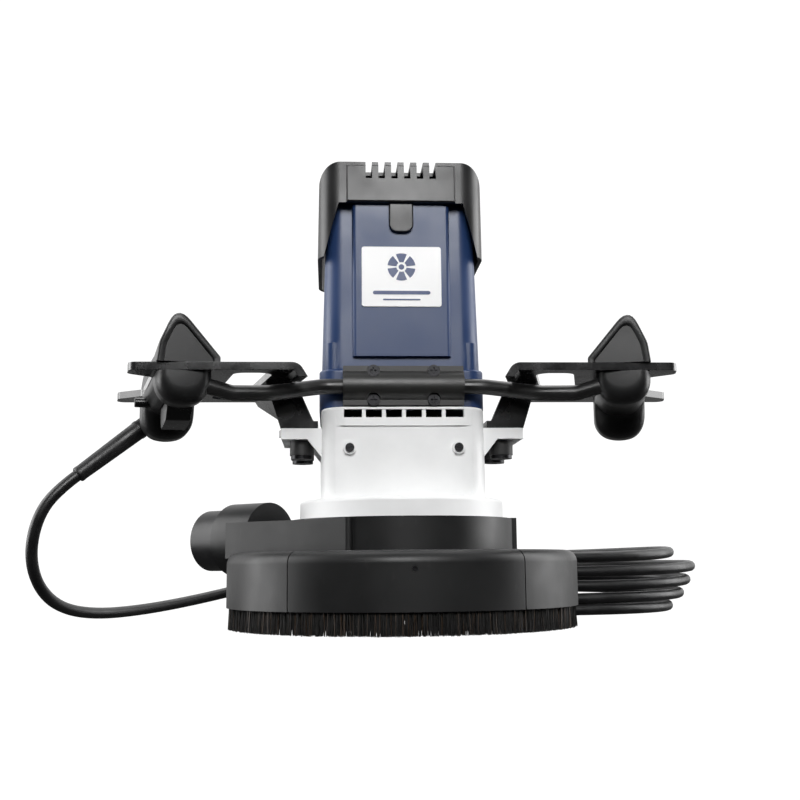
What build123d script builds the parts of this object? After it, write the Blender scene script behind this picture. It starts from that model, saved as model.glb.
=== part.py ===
from build123d import *
import os
from math import acos, cos, pi, radians, sin, tan

# Hand-held concrete grinder with a dust hood, an upright motor and two side grips, in millimetres.
# The origin is on the floor under the spindle, the operator's front is -Y and +X is the right grip.

os.makedirs("parts", exist_ok=True)

# ---------------------------------------------------------------- driving dimensions
running_gap = 0.05          # radial clearance of a turning fit
seat_gap = 0.02             # radial clearance of a pressed or screwed-down fit
cover_gap = 0.5             # clearance between pieces that are taken apart

# dust hood
brush_height = 17.0         # free length of the bristles under the skirt
skirt_radius = 138.0
skirt_top = 59.0
hood_wall = 4.0
collar_radius = 88.0
collar_top = 84.0
segment_half_angle = 37.0   # half of the removable front segment
segment_turn = -2.0         # its middle, in degrees from -Y towards +X
segment_inner_radius = 104.0
segment_lip = 6.0
skirt_round = 9.0
collar_round = 6.0
latch_height = 46.0         # the latch pin of the front segment
latch_radius = 2.0
hood_screw_circle = 70.0
brush_width = 7.0
brush_root = 13.0           # how far the bristle strip reaches up inside the skirt

# hose port on the left rear of the hood
port_angle = 140.0          # direction of the port about +Z, from +X
port_offset = 58.6          # distance of the port axis from the spindle axis
port_height = 70.0
port_end = 154.0            # distance of the port mouth along its axis
spigot_radius = 25.0
spigot_wall = 3.0
spigot_length = 54.0
spigot_free = 28.0          # length of the spigot outside its boss, where the hose cuff goes
spigot_step = 1.0           # how much wider the spigot's root is
duct_half_width = 28.0
duct_front = 31.4           # how far the duct's front wall stands from the port axis
duct_bead = 4.0             # radius of the upright bead where the front wall meets the collar
duct_wall = 3.5

# gear case
neck_radius = 34.0
neck_bottom = 42.0
flange_radius = 81.0
flange_top = 99.0
case_half_width = 64.5
case_front = -45.0
case_rear = 95.0
case_corner = 20.0
case_wall = 6.0
case_parting = 123.0
case_deck = 144.0
deck_thickness = 6.0
case_top = 170.0
recess_half_width = 53.0    # the recessed panel in the front of the gear case
recess_depth = 2.0
recess_top = 155.0
outlet_half_width = 46.5    # the air outlet above the panel
outlet_bottom = 161.5
outlet_top = 168.0
outlet_bars = 5

# gears and spindle
gear_module = 1.25
pressure_angle = radians(20)
spindle_teeth = 42
pinion_teeth = 11
profile_shift = 0.4
backlash = 0.16
gear_bottom = 125.0
gear_width = 12.0
motor_y = gear_module * (spindle_teeth + pinion_teeth) / 2
spindle_radius = 10.0
thread_radius = 7.0
journal_radius = 8.0
wheel_radius = 115.0
wheel_bottom = 12.0
wheel_plate = 6.0
segment_tip = 3.0

# motor
base_half_width = 65.5
base_front = -29.0
base_rear = 95.0
base_top = 202.0
motor_half_width = 63.5
motor_half_depth = 60.0
motor_top = 344.0
motor_draft = 1.5
motor_wall = 4.0
panel_half_width = 39.0
panel_front = -31.0
panel_bottom = 212.0
stator_radius = 47.0
stator_bore = 27.5
stator_bottom = 218.0
stator_length = 60.0
bridge_bottom = 318.0

# top cap
cap_half_width = 67.0
cap_front = -34.0
cap_rear = 98.0
cap_top = 371.0
cap_wall = 3.0
cap_ear_bottom = 294.0
cap_front_edge = 337.0
vent_slots = 6
vent_pitch = 10.3
vent_width = 5.2

# handles
splay = 13.3                # degrees that the grips turn out towards the rear
plate_bottom = 192.0
plate_thickness = 6.0
bend_x = 99.5               # where the bend line crosses the X axis
plate_outer_x = 223.8       # where the plate's outer side crosses the X axis
plate_front = -82.0
plate_rear = 85.0
hand_reach = 68.0           # half length of the hand opening
tab_reach = 64.0            # where the plate's end tabs begin
plate_waist = 20.0          # how far the plate reaches outside the grip's centre line between them
opening_outer = 39.5        # how far inside the grip's centre line the hand opening ends
opening_inner = 15.5        # how far outside the bend line it begins
strap_lean = 31.0
foot_length = 18.0
web_foot = (67.5, 95.7)     # inner and outer X of the strap's front web on the lug
web_head = (84.0, 107.5)    # and under the plate
web_thickness = 4.0
lug_top = 154.8
lug_thickness = 8.5
lug_reach = 95.0
lug_front = -30.0
lug_rear = 38.0
bolt_x = 79.5
bolt_rows = (-15.0, 24.0)
bolt_radius = 3.0
damper_radius = 9.3
damper_height = 11.7
washer_thickness = 3.0
grip_x = 184.0              # where the grip's centre line crosses the X axis
grip_half_length = 84.0
tube_radius = 6.0
clamp_half_width = 47.0
clamp_bottom = 171.0
clamp_face = -38.0

# cord
cord_radius = 5.0

case_middle = (case_front + case_rear) / 2
case_depth = case_rear - case_front
base_middle = (base_front + base_rear) / 2
base_depth = base_rear - base_front
cap_middle = (cap_front + cap_rear) / 2
cap_depth = cap_rear - cap_front
port_along = (cos(radians(port_angle)), sin(radians(port_angle)))
port_side = (port_along[1], -port_along[0])
splay_sine = sin(radians(splay))
splay_cosine = cos(radians(splay))


# ---------------------------------------------------------------- shared outlines
def ring(inner, outer, bottom, top, centre=(0, 0), mode=Mode.ADD):
    """A ring, or a disc if inner is 0, about an upright axis."""
    with BuildSketch(Plane.XY.offset(bottom)) as face:
        with Locations(centre):
            Circle(outer)
            if inner > 0:
                Circle(inner, mode=Mode.SUBTRACT)
    extrude(face.sketch, amount=top - bottom, mode=mode)


def block(width, depth, bottom, top, centre=(0, 0), corner=0.0, mode=Mode.ADD, taper=0.0):
    """An upright rectangular block with round vertical corners."""
    with BuildSketch(Plane.XY.offset(bottom)) as face:
        with Locations(centre):
            if corner > 0:
                RectangleRounded(width, depth, corner)
            else:
                Rectangle(width, depth)
    extrude(face.sketch, amount=top - bottom, taper=taper, mode=mode)


def box_between(low, high, mode=Mode.ADD):
    """A box from its lowest to its highest corner."""
    with Locations([tuple((a + b) / 2 for a, b in zip(low, high))]):
        Box(*[b - a for a, b in zip(low, high)], mode=mode)


def spur_gear(teeth, shift, first_tooth, bottom, top, centre):
    """A spur gear with involute flanks; first_tooth is the direction of one tooth in degrees."""
    pitch_radius = gear_module * teeth / 2
    base_radius = pitch_radius * cos(pressure_angle)
    tip_radius = pitch_radius + gear_module * (1 + shift)
    root_radius = pitch_radius - gear_module * (1.25 - shift)
    thickness = gear_module * (pi / 2 + 2 * shift * tan(pressure_angle)) - backlash / 2
    middle = thickness / (2 * pitch_radius) + tan(pressure_angle) - pressure_angle
    flank = []
    for step in range(5):
        radius = max(base_radius, root_radius)
        radius += (tip_radius - radius) * step / 4
        turn = acos(min(1.0, base_radius / radius))
        flank.append((radius, middle - tan(turn) + turn))
    if root_radius < base_radius:
        flank.insert(0, (root_radius, flank[0][1]))
    points = []
    for tooth in range(teeth):
        direction = radians(first_tooth) + 2 * pi * tooth / teeth
        for radius, half in flank:
            points.append((radius * cos(direction - half), radius * sin(direction - half)))
        for radius, half in reversed(flank):
            points.append((radius * cos(direction + half), radius * sin(direction + half)))
    points = [(x + centre[0], y + centre[1]) for x, y in points]
    with BuildSketch(Plane.XY.offset(bottom)) as face:
        with BuildLine():
            Polyline(*points, close=True)
        make_face()
    extrude(face.sketch, amount=top - bottom)


def screw(at, length, radius, head_radius, head_height, points_up=False):
    """A cap screw with a hex socket; at is the seat of its head and the shank runs away from the head."""
    way = 1 if points_up else -1
    with BuildSketch(Plane(origin=at, z_dir=(0, 0, way))) as shank:
        Circle(radius)
    extrude(shank.sketch, amount=length)
    with BuildSketch(Plane(origin=at, z_dir=(0, 0, -way))) as head:
        Circle(head_radius)
    extrude(head.sketch, amount=head_height)
    head_top = (at[0], at[1], at[2] - way * head_height)
    with BuildSketch(Plane(origin=head_top, z_dir=(0, 0, way))) as socket:
        RegularPolygon(head_radius * 0.5, 6)
    extrude(socket.sketch, amount=head_height * 0.55, mode=Mode.SUBTRACT)


def port_point(along, side, height):
    """A point of the hose port, from its distance along and beside the port axis."""
    return (
        port_along[0] * along - port_side[0] * (port_offset + side),
        port_along[1] * along - port_side[1] * (port_offset + side),
        height,
    )


def port_plane(along):
    """A plane across the port axis, with its local y upwards."""
    return Plane(
        origin=port_point(along, 0, port_height),
        x_dir=(-port_side[0], -port_side[1], 0),
        z_dir=(port_along[0], port_along[1], 0),
    )


def front_sector(half_angle, inner, outer, bottom, top, mode):
    """The sector of the hood's front segment, between two radii."""
    reach = 2 * outer
    first, last = radians(segment_turn - half_angle), radians(segment_turn + half_angle)
    with BuildSketch(Plane.XY.offset(bottom)) as face:
        with BuildLine():
            Polyline(
                (0, 0),
                (reach * sin(first), -reach * cos(first)),
                (reach * sin(last), -reach * cos(last)),
                close=True,
            )
        make_face()
        Circle(outer, mode=Mode.INTERSECT)
        Circle(inner, mode=Mode.SUBTRACT)
    extrude(face.sketch, amount=top - bottom, mode=mode)


def hood_body():
    """The round shell of the hood: collar on top, skirt below, open underneath."""
    with BuildPart() as body:
        with BuildSketch(Plane.XZ) as profile:
            with BuildLine():
                Polyline(
                    (neck_radius + 2, collar_top),
                    (collar_radius, collar_top),
                    (collar_radius, skirt_top),
                    (skirt_radius, skirt_top),
                    (skirt_radius, brush_height),
                    (skirt_radius - hood_wall, brush_height),
                    (skirt_radius - hood_wall, skirt_top - hood_wall),
                    (collar_radius - hood_wall, skirt_top - hood_wall),
                    (collar_radius - hood_wall, collar_top - hood_wall),
                    (neck_radius + 2, collar_top - hood_wall),
                    close=True,
                )
            make_face()
            corners = profile.vertices()
            fillet(corners.filter_by(lambda v: v.X > skirt_radius - 1 and v.Y > skirt_top - 1), skirt_round)
            fillet(corners.filter_by(lambda v: abs(v.X - collar_radius) < 1 and v.Y > collar_top - 1),
                   collar_round)
            inner_corner = skirt_radius - hood_wall
            fillet(corners.filter_by(lambda v: abs(v.X - inner_corner) < 1 and v.Y > skirt_top - 5),
                   skirt_round - hood_wall)
        revolve(axis=Axis.Z)
    return body


# ---------------------------------------------------------------- dust hood
hood_screw_places = [
    (hood_screw_circle * cos(radians(a)), hood_screw_circle * sin(radians(a))) for a in (45, 135, 225, 315)
]

with BuildPart() as hood_shell:
    add(hood_body().part)
    # duct from the collar out to the port, and the round boss of the port
    with BuildSketch(Plane.XY.offset(skirt_top - hood_wall)):
        with BuildLine():
            Polyline(
                port_point(20, -duct_half_width, 0)[:2],
                port_point(-15, duct_front, 0)[:2],
                port_point(107, duct_front, 0)[:2],
                port_point(107, -duct_half_width, 0)[:2],
                close=True,
            )
        make_face()
    extrude(amount=collar_top - skirt_top + hood_wall - 1)
    ring(0, duct_bead, skirt_top - 1, collar_top - 0.6, port_point(-15, duct_front - duct_bead, 0)[:2])
    with BuildSketch(port_plane(88)):
        Circle(spigot_radius + spigot_step + duct_wall)
    extrude(amount=port_end - spigot_free - 88)
    # air passage from the collar, the socket of the spigot, and the open inside
    with BuildSketch(port_plane(0)):
        Rectangle(2 * (duct_half_width - duct_wall), 2 * (collar_top - duct_wall - 1 - port_height))
    extrude(amount=106, mode=Mode.SUBTRACT)
    with BuildSketch(port_plane(95)):
        Circle(spigot_radius - spigot_wall)
    extrude(amount=20, mode=Mode.SUBTRACT)
    with BuildSketch(port_plane(port_end - spigot_length)):
        Circle(spigot_radius + spigot_step + seat_gap)
    extrude(amount=spigot_length, mode=Mode.SUBTRACT)
    ring(0, collar_radius - hood_wall, brush_height - 1, collar_top - hood_wall, mode=Mode.SUBTRACT)
    # clamp tab on the right of the collar
    box_between((collar_radius - 3, -9, skirt_top - 1), (collar_radius + 3.5, 22, collar_top + 1))
    # opening for the front segment, with the neck and screw holes
    front_sector(segment_half_angle + 0.25, segment_inner_radius, skirt_radius + 9,
                 brush_height - 1, skirt_top + 1, Mode.SUBTRACT)
    ring(0, neck_radius + 2, collar_top - 20, collar_top + 5, mode=Mode.SUBTRACT)
    with Locations([(x, y, collar_top) for x, y in hood_screw_places]):
        Cylinder(bolt_radius + seat_gap, 3 * hood_wall, mode=Mode.SUBTRACT)

with BuildPart() as hood_segment:
    add(hood_body().part)
    front_sector(segment_half_angle - 0.1, segment_inner_radius + cover_gap, skirt_radius + 9,
                 brush_height - 1, skirt_top + 1, Mode.INTERSECT)
    lip_top = skirt_top - hood_wall
    front_sector(segment_half_angle - 4, segment_inner_radius - segment_lip, segment_inner_radius + 12,
                 lip_top - 3, lip_top - cover_gap / 2, Mode.ADD)
    front_sector(segment_half_angle - 4, segment_inner_radius + 2, segment_inner_radius + 12,
                 lip_top - 1, lip_top + 1, Mode.ADD)
    with BuildSketch(Plane.XZ.offset(skirt_radius - 12)):
        with Locations((0, latch_height)):
            Circle(latch_radius)
    extrude(amount=24, mode=Mode.SUBTRACT)

with BuildPart() as segment_latch:
    with BuildSketch(Plane.XZ.offset(skirt_radius - 9)):
        with Locations((0, latch_height)):
            Circle(latch_radius - running_gap)
    extrude(amount=9)
    with BuildSketch(Plane.XZ.offset(skirt_radius - 9)):
        with Locations((0, latch_height)):
            Circle(2 * latch_radius)
    extrude(amount=9 - hood_wall - cover_gap)

with BuildPart() as brush_full:
    ring(skirt_radius - 2 - brush_width, skirt_radius - 2, 0, brush_height - cover_gap / 4)
    ring(skirt_radius - hood_wall - 5, skirt_radius - hood_wall - 0.3,
         brush_height - cover_gap / 4, brush_height + brush_root)

with BuildPart() as brush_ring:
    add(brush_full.part)
    front_sector(segment_half_angle + 0.25, 40, skirt_radius + 9, -1, 2 * skirt_top, Mode.SUBTRACT)

with BuildPart() as segment_brush:
    add(brush_full.part)
    front_sector(segment_half_angle - 0.1, 40, skirt_radius + 9, -1, 2 * skirt_top, Mode.INTERSECT)

with BuildPart() as hose_spigot:
    with BuildSketch(port_plane(port_end - spigot_length)):
        Circle(spigot_radius + spigot_step)
    extrude(amount=spigot_length - spigot_free)
    with BuildSketch(port_plane(port_end - spigot_free)):
        Circle(spigot_radius)
    extrude(amount=spigot_free)
    with BuildSketch(port_plane(port_end - spigot_length)):
        Circle(spigot_radius - spigot_wall)
    extrude(amount=spigot_length, mode=Mode.SUBTRACT)

with BuildPart() as hood_screws:
    for x, y in hood_screw_places:
        screw((x, y, collar_top - hood_wall), 12, bolt_radius, 5, 4, points_up=True)

# ---------------------------------------------------------------- gear case
case_width = 2 * case_half_width
corner_bosses = [(x, y) for x in (-50, 50) for y in (case_front + 15, case_rear - 15)]

with BuildPart() as gear_cover:
    ring(0, flange_radius, collar_top + 0.1, flange_top)
    fillet(gear_cover.edges().group_by(Axis.Z)[-1], 3)
    block(case_width, case_depth, flange_top - 4, case_parting, (0, case_middle), case_corner)
    ring(0, neck_radius, neck_bottom, collar_top + 1)
    block(case_width - 2 * case_wall, case_depth - 2 * case_wall, 103, case_parting,
          (0, case_middle), case_corner - case_wall, Mode.SUBTRACT)
    for place in corner_bosses:
        ring(0, 7, 102, case_parting, place)
    # bearing and seal seat from below, spindle passage above
    ring(0, 23.5 + seat_gap, neck_bottom - 1, 64, mode=Mode.SUBTRACT)
    ring(0, 15, 60, 110, mode=Mode.SUBTRACT)
    # recessed front panel
    box_between((-recess_half_width, case_front - 1, flange_top + 4),
                (recess_half_width, case_front + recess_depth, case_parting + 1), Mode.SUBTRACT)
    with Locations([(x, y, collar_top) for x, y in hood_screw_places]):
        Cylinder(bolt_radius + seat_gap, 24, mode=Mode.SUBTRACT)
    with Locations([(x, y, case_parting) for x, y in corner_bosses]):
        Cylinder(2.5 + seat_gap, 30, mode=Mode.SUBTRACT)

with BuildPart() as gear_housing:
    block(case_width, case_depth, case_parting, case_top, (0, case_middle), case_corner, taper=0.7)
    fillet(gear_housing.edges().group_by(Axis.Z)[-1], 2.5)
    # mounting lugs with ribs under them
    for side in (-1, 1):
        low, high = sorted((side * (case_half_width - 4), side * lug_reach))
        box_between((low, lug_front, lug_top - lug_thickness), (high, lug_rear, lug_top))
        for rib_y in (lug_front, lug_rear - 6):
            with BuildSketch(Plane.XZ.offset(-rib_y - 6)):
                with BuildLine():
                    Polyline(
                        (side * (case_half_width - 3), lug_top - lug_thickness + 1),
                        (side * (case_half_width + 11), lug_top - lug_thickness + 1),
                        (side * (case_half_width - 3), lug_top - lug_thickness - 17),
                        close=True,
                    )
                make_face()
            extrude(amount=6)
    # gear chamber below the deck, fan chamber above it
    block(case_width - 2 * case_wall, case_depth - 2 * case_wall, case_parting, case_deck,
          (0, case_middle), case_corner - case_wall, Mode.SUBTRACT)
    block(case_width - 2 * case_wall, case_depth - 2 * case_wall, case_deck + deck_thickness, case_top,
          (0, case_middle), case_corner - case_wall, Mode.SUBTRACT)
    for place in corner_bosses:
        ring(0, 7, case_parting, case_deck + 1, place)
    ring(0, 15, gear_bottom + gear_width + 1, case_deck + 1)
    ring(0, 20, case_deck, 160, (0, motor_y))
    ring(0, 11 + seat_gap, gear_bottom + gear_width, case_deck + 4, mode=Mode.SUBTRACT)
    ring(0, 10, case_deck - 1, 155, (0, motor_y), Mode.SUBTRACT)
    ring(0, 16 + seat_gap, 149, 161, (0, motor_y), Mode.SUBTRACT)
    # front panel recess and the air outlet with its upright bars
    box_between((-recess_half_width, case_front - 1, case_parting - 1),
                (recess_half_width, case_front + recess_depth, recess_top), Mode.SUBTRACT)
    box_between((-outlet_half_width, case_front - 1, outlet_bottom),
                (outlet_half_width, case_front + 12, outlet_top), Mode.SUBTRACT)
    for bar in range(outlet_bars):
        middle = (bar - (outlet_bars - 1) / 2) * 2 * outlet_half_width / (outlet_bars + 1)
        box_between((middle - 1.5, case_front + 1.5, outlet_bottom - 0.5),
                    (middle + 1.5, case_front + 6, outlet_top + 0.5))
    for side in (-1, 1):
        with BuildSketch(Plane.XZ.offset(-case_front - 3)):
            with Locations((side * 42, 138)):
                Circle(5)
        extrude(amount=4)
    with Locations([(side * bolt_x, y, lug_top) for side in (-1, 1) for y in bolt_rows]):
        Cylinder(bolt_radius + 0.3, 4 * lug_thickness, mode=Mode.SUBTRACT)
    with Locations([(x, y, case_deck) for x, y in corner_bosses]):
        Cylinder(2.5 + seat_gap, 60, mode=Mode.SUBTRACT)

with BuildPart() as gear_cover_screws:
    for x, y in corner_bosses:
        screw((x, y, case_deck + deck_thickness), 36, 2.5, 4.5, 4)

with BuildPart() as spindle_seal:
    ring(14 + running_gap, 23.5, neck_bottom, 49.8)

with BuildPart() as lower_bearing_outer:
    ring(20.6, 23.5, 50, 64)

with BuildPart() as lower_bearing_inner:
    ring(spindle_radius + seat_gap, 12.9, 50, 64)
    for ball in range(8):
        with Locations([(16.74 * cos(ball * pi / 4), 16.74 * sin(ball * pi / 4), 57)]):
            Sphere(3.8)

with BuildPart() as upper_bush:
    ring(journal_radius + running_gap, 11, gear_bottom + gear_width + 1.2, case_deck + 4)

with BuildPart() as spindle:
    ring(0, thread_radius, 5, 18)
    ring(0, spindle_radius, 18, gear_bottom + gear_width)
    ring(0, spindle_radius + 3, 64.1, 70)
    ring(0, spindle_radius + 2.5, gear_bottom - 6, gear_bottom - seat_gap)
    ring(0, journal_radius, gear_bottom + gear_width, case_deck + 3.5)
    box_between((-spindle_radius - 1, -2, gear_bottom + 1), (-spindle_radius + 2.5, 2, gear_bottom + 11),
                Mode.SUBTRACT)

with BuildPart() as spindle_key:
    box_between((-spindle_radius - 1.8, -1.98, gear_bottom + 1.02),
                (-spindle_radius + 2.48, 1.98, gear_bottom + 10.98))

with BuildPart() as spindle_gear:
    spur_gear(spindle_teeth, -profile_shift, 90, gear_bottom, gear_bottom + gear_width, (0, 0))
    ring(0, spindle_radius + seat_gap, gear_bottom - 1, gear_bottom + gear_width + 1, mode=Mode.SUBTRACT)
    box_between((-spindle_radius - 1.9, -2, gear_bottom - 1), (0, 2, gear_bottom + gear_width + 1),
                Mode.SUBTRACT)
    with PolarLocations(19, 6):
        with Locations((0, 0, gear_bottom + gear_width / 2)):
            Cylinder(3, 2 * gear_width, mode=Mode.SUBTRACT)

with BuildPart() as wheel_flange:
    ring(spindle_radius + seat_gap, 22, 18, 24)
    ring(spindle_radius + seat_gap, 14, 24, 49.9)
    ring(thread_radius + seat_gap, 11.1, wheel_bottom + 0.6, 18)

with BuildPart() as cup_wheel:
    ring(11.1 + seat_gap, wheel_radius, wheel_bottom, wheel_bottom + wheel_plate)
    fillet(cup_wheel.edges().group_by(Axis.Z)[-1].sort_by(SortBy.RADIUS)[-1], 3)
    with PolarLocations(62, 8):
        with Locations((0, 0, wheel_bottom)):
            Cylinder(7, 30, mode=Mode.SUBTRACT)

with BuildPart() as diamond_segments:
    with PolarLocations(wheel_radius - 9.5, 18):
        with Locations((0, 0, (segment_tip + wheel_bottom) / 2)):
            Box(13, 24, wheel_bottom - segment_tip)

with BuildPart() as clamp_nut:
    ring(thread_radius + seat_gap, 20, 6, wheel_bottom)
    with PolarLocations(15, 4):
        with Locations((0, 0, 7)):
            Cylinder(2.2, 4, mode=Mode.SUBTRACT)

# ---------------------------------------------------------------- motor
base_width = 2 * base_half_width
base_corners = [(x, y) for x in (-54, 54) for y in (base_front + 10, base_rear - 10)]
cap_posts = [(x, y) for x in (-42, 42) for y in (base_front + 18, base_rear - 18)]

with BuildPart() as motor_base:
    block(base_width, base_depth, case_top, base_top, (0, base_middle), 13)
    fillet(motor_base.edges().group_by(Axis.Z)[-1], 2)
    block(base_width - 8, base_depth - 8, case_top - 1, base_top + 1, (0, base_middle), 9, Mode.SUBTRACT)
    block(base_width - 6, base_depth - 6, 179, 182, (0, base_middle), 9)
    ring(0, 42, case_top, base_top, (0, motor_y), Mode.SUBTRACT)
    for place in base_corners:
        ring(0, 7, case_top, base_top - 4, place)
    with Locations([(x, y, base_top) for x, y in base_corners]):
        Cylinder(3 + seat_gap, 80, mode=Mode.SUBTRACT)

with BuildPart() as motor_inside:
    # ribs that hold the stator, and the bridge of the upper bearing
    block(26, 200, stator_bottom - 4, stator_bottom + stator_length, (0, base_middle))
    block(200, 26, stator_bottom - 4, stator_bottom + stator_length, (0, base_middle))
    block(200, 200, bridge_bottom, bridge_bottom + 4, (0, base_middle))
    ring(0, 15, bridge_bottom, 334, (0, motor_y))
    block(2 * motor_half_width - 4, 2 * motor_half_depth - 4, base_top, motor_top, (0, base_middle), 15,
          Mode.INTERSECT, taper=motor_draft)

with BuildPart() as motor_housing:
    block(2 * motor_half_width, 2 * motor_half_depth, base_top, motor_top, (0, base_middle), 17,
          taper=motor_draft)
    box_between((-panel_half_width, panel_front, panel_bottom),
                (panel_half_width, base_middle - 30, cap_front_edge - 1))
    fillet(motor_housing.edges().filter_by(Axis.Z).group_by(Axis.Y)[0], 3)
    block(2 * (motor_half_width - motor_wall), 2 * (motor_half_depth - motor_wall), base_top - 1,
          motor_top + 1, (0, base_middle), 13, Mode.SUBTRACT, taper=motor_draft)
    add(motor_inside.part)
    ring(0, stator_radius + seat_gap, stator_bottom, stator_bottom + stator_length + 1, (0, motor_y),
         Mode.SUBTRACT)
    ring(0, stator_radius - 5, stator_bottom - 6, stator_bottom + 1, (0, motor_y), Mode.SUBTRACT)
    ring(0, 11 + seat_gap, 326, 335, (0, motor_y), Mode.SUBTRACT)
    ring(0, 6, bridge_bottom - 1, 327, (0, motor_y), Mode.SUBTRACT)
    with Locations([(0, motor_y, bridge_bottom)]):
        with PolarLocations(33, 6):
            Cylinder(8, 12, mode=Mode.SUBTRACT)
    # screw pockets in the lower corners, and posts for the cap's screws
    for x, y in base_corners:
        ring(0, 7, base_top, base_top + 22, (x, y))
    for x, y in base_corners:
        ring(0, 5.2, base_top + 4, base_top + 18, (x, y), Mode.SUBTRACT)
        ring(0, 3 + seat_gap, base_top - 1, base_top + 6, (x, y), Mode.SUBTRACT)
    for x, y in cap_posts:
        ring(0, 5, bridge_bottom, motor_top, (x, y))
        ring(0, 2 + seat_gap, bridge_bottom + 6, motor_top + 1, (x, y), Mode.SUBTRACT)

with BuildPart() as motor_screws:
    for x, y in base_corners:
        screw((x, y, base_top + 4), 30, 3, 5, 4)
    for x, y in cap_posts:
        screw((x, y, motor_top + 4), 18, 2, 3.8, 3)

with BuildPart() as label_plate:
    box_between((-31.8, panel_front - 1, 252), (31.8, panel_front, 301))
    fillet(label_plate.edges().filter_by(Axis.Y), 2)

with BuildPart() as top_cap:
    # front view: shoulders above, ears at the sides and a raised front edge between them
    with BuildSketch(Plane.XZ.offset(-cap_front)) as cap_face:
        with BuildLine():
            Polyline(
                (-cap_half_width, cap_ear_bottom), (-cap_half_width + 1.5, cap_top),
                (cap_half_width - 1.5, cap_top), (cap_half_width, cap_ear_bottom),
                (cap_half_width - 5, cap_ear_bottom), (54, 324), (50, cap_front_edge),
                (-50, cap_front_edge), (-54, 324), (-cap_half_width + 5, cap_ear_bottom),
                close=True,
            )
        make_face()
        fillet(cap_face.vertices().group_by(Axis.Y)[-1], 17)
    extrude(amount=-cap_depth)
    block(2 * cap_half_width, cap_depth, cap_ear_bottom - 1, cap_top + 1, (0, cap_middle), 19,
          Mode.INTERSECT)
    block(2 * (cap_half_width - cap_wall), cap_depth - 2 * cap_wall, cap_ear_bottom - 1, cap_top - 15,
          (0, cap_middle), 16, Mode.SUBTRACT)
    block(2 * (cap_half_width - 15), cap_depth - 2 * cap_wall, cap_top - 16, cap_top - cap_wall,
          (0, cap_middle), 12, Mode.SUBTRACT)
    # raised front field with the air slots over the front edge
    box_between((-44, cap_front - 2.5, cap_front_edge), (44, cap_front + 1, cap_top - 3))
    fillet(top_cap.edges().group_by(Axis.Y)[0], 1.5)
    for slot in range(vent_slots):
        centre = (slot - (vent_slots - 1) / 2) * vent_pitch
        box_between((centre - vent_width / 2, cap_front - 4, cap_top - 14.5),
                    (centre + vent_width / 2, cap_front + 24, cap_top + 1), Mode.SUBTRACT)
    for x, y in cap_posts:
        ring(0, 5, motor_top, cap_top - cap_wall, (x, y))
        ring(0, 4.2, motor_top + 4, cap_top + 1, (x, y), Mode.SUBTRACT)
        ring(0, 2 + seat_gap, motor_top - 1, motor_top + 5, (x, y), Mode.SUBTRACT)

with BuildPart() as cap_tongue:
    with BuildSketch(Plane.XZ.offset(-panel_front)) as tongue_face:
        with Locations((0, 325.5)):
            Rectangle(19.5, 26)
        fillet(tongue_face.vertices().group_by(Axis.Y)[0], 7)
    extrude(amount=4)
    box_between((-12, panel_front - 5, cap_front_edge - cover_gap), (12, panel_front + 3, 341),
                Mode.SUBTRACT)

with BuildPart() as stator_core:
    ring(stator_bore, stator_radius, stator_bottom, stator_bottom + stator_length, (0, motor_y))
    for side in (-1, 1):
        box_between((side * 38 - 6, motor_y - 14, stator_bottom), (side * 38 + 6, motor_y + 14, 300),
                    Mode.SUBTRACT)

with BuildPart() as field_coils:
    for bottom in (stator_bottom - 11, stator_bottom + stator_length):
        ring(30, 41, bottom, bottom + 11, (0, motor_y))
    box_between((-60, motor_y - 3, stator_bottom - 12), (60, motor_y + 3, 300), Mode.SUBTRACT)

with BuildPart() as armature_shaft:
    spur_gear(pinion_teeth, profile_shift, 270 + 180 / pinion_teeth, gear_bottom - 1.5,
              gear_bottom + gear_width + 1.5, (0, motor_y))
    ring(0, 5.7, gear_bottom + gear_width, 160, (0, motor_y))
    ring(0, 6, 148, 178, (0, motor_y))
    ring(0, 8, 178, 314, (0, motor_y))
    ring(0, 4, 314, 333, (0, motor_y))

with BuildPart() as armature_core:
    ring(8 + seat_gap, stator_bore - 1, stator_bottom - 2, stator_bottom + stator_length + 2, (0, motor_y))
    with Locations((0, motor_y, stator_bottom + stator_length / 2)):
        with PolarLocations(stator_bore - 1, 18):
            Box(5, 2, stator_length + 5, mode=Mode.SUBTRACT)

with BuildPart() as armature_windings:
    ring(8 + seat_gap, 23, stator_bottom - 14, stator_bottom - 2, (0, motor_y))
    ring(8 + seat_gap, 23, stator_bottom + stator_length + 2, stator_bottom + stator_length + 13,
         (0, motor_y))
    fillet(armature_windings.edges().filter_by(GeomType.CIRCLE).sort_by(SortBy.RADIUS)[-4:], 3)

with BuildPart() as commutator:
    ring(8 + seat_gap, 17, 292, 312, (0, motor_y))
    with Locations((0, motor_y, 303)):
        with PolarLocations(17, 24):
            Box(3, 0.7, 15, mode=Mode.SUBTRACT)

with BuildPart() as cooling_fan:
    ring(6 + seat_gap, 12, 161.5, 174, (0, motor_y))
    ring(6 + seat_gap, 39, 161.5, 164, (0, motor_y))
    with Locations((0, motor_y, 168.5)):
        with PolarLocations(25, 14, start_angle=8):
            Box(28, 2, 10, rotation=(0, 0, 20))

with BuildPart() as armature_bearing_lower:
    ring(6 + seat_gap, 16, 149.1, 159, (0, motor_y))

with BuildPart() as armature_bearing_upper:
    ring(4 + running_gap, 11, 326.1, 333, (0, motor_y))

with BuildPart() as brush_holders:
    for side in (-1, 1):
        low, high = sorted((side * 20, side * 44))
        box_between((low, motor_y - 8, 295), (high, motor_y + 8, bridge_bottom))
        low, high = sorted((side * 19, side * 40))
        box_between((low, motor_y - 5, 298), (high, motor_y + 5, 308), Mode.SUBTRACT)

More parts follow.
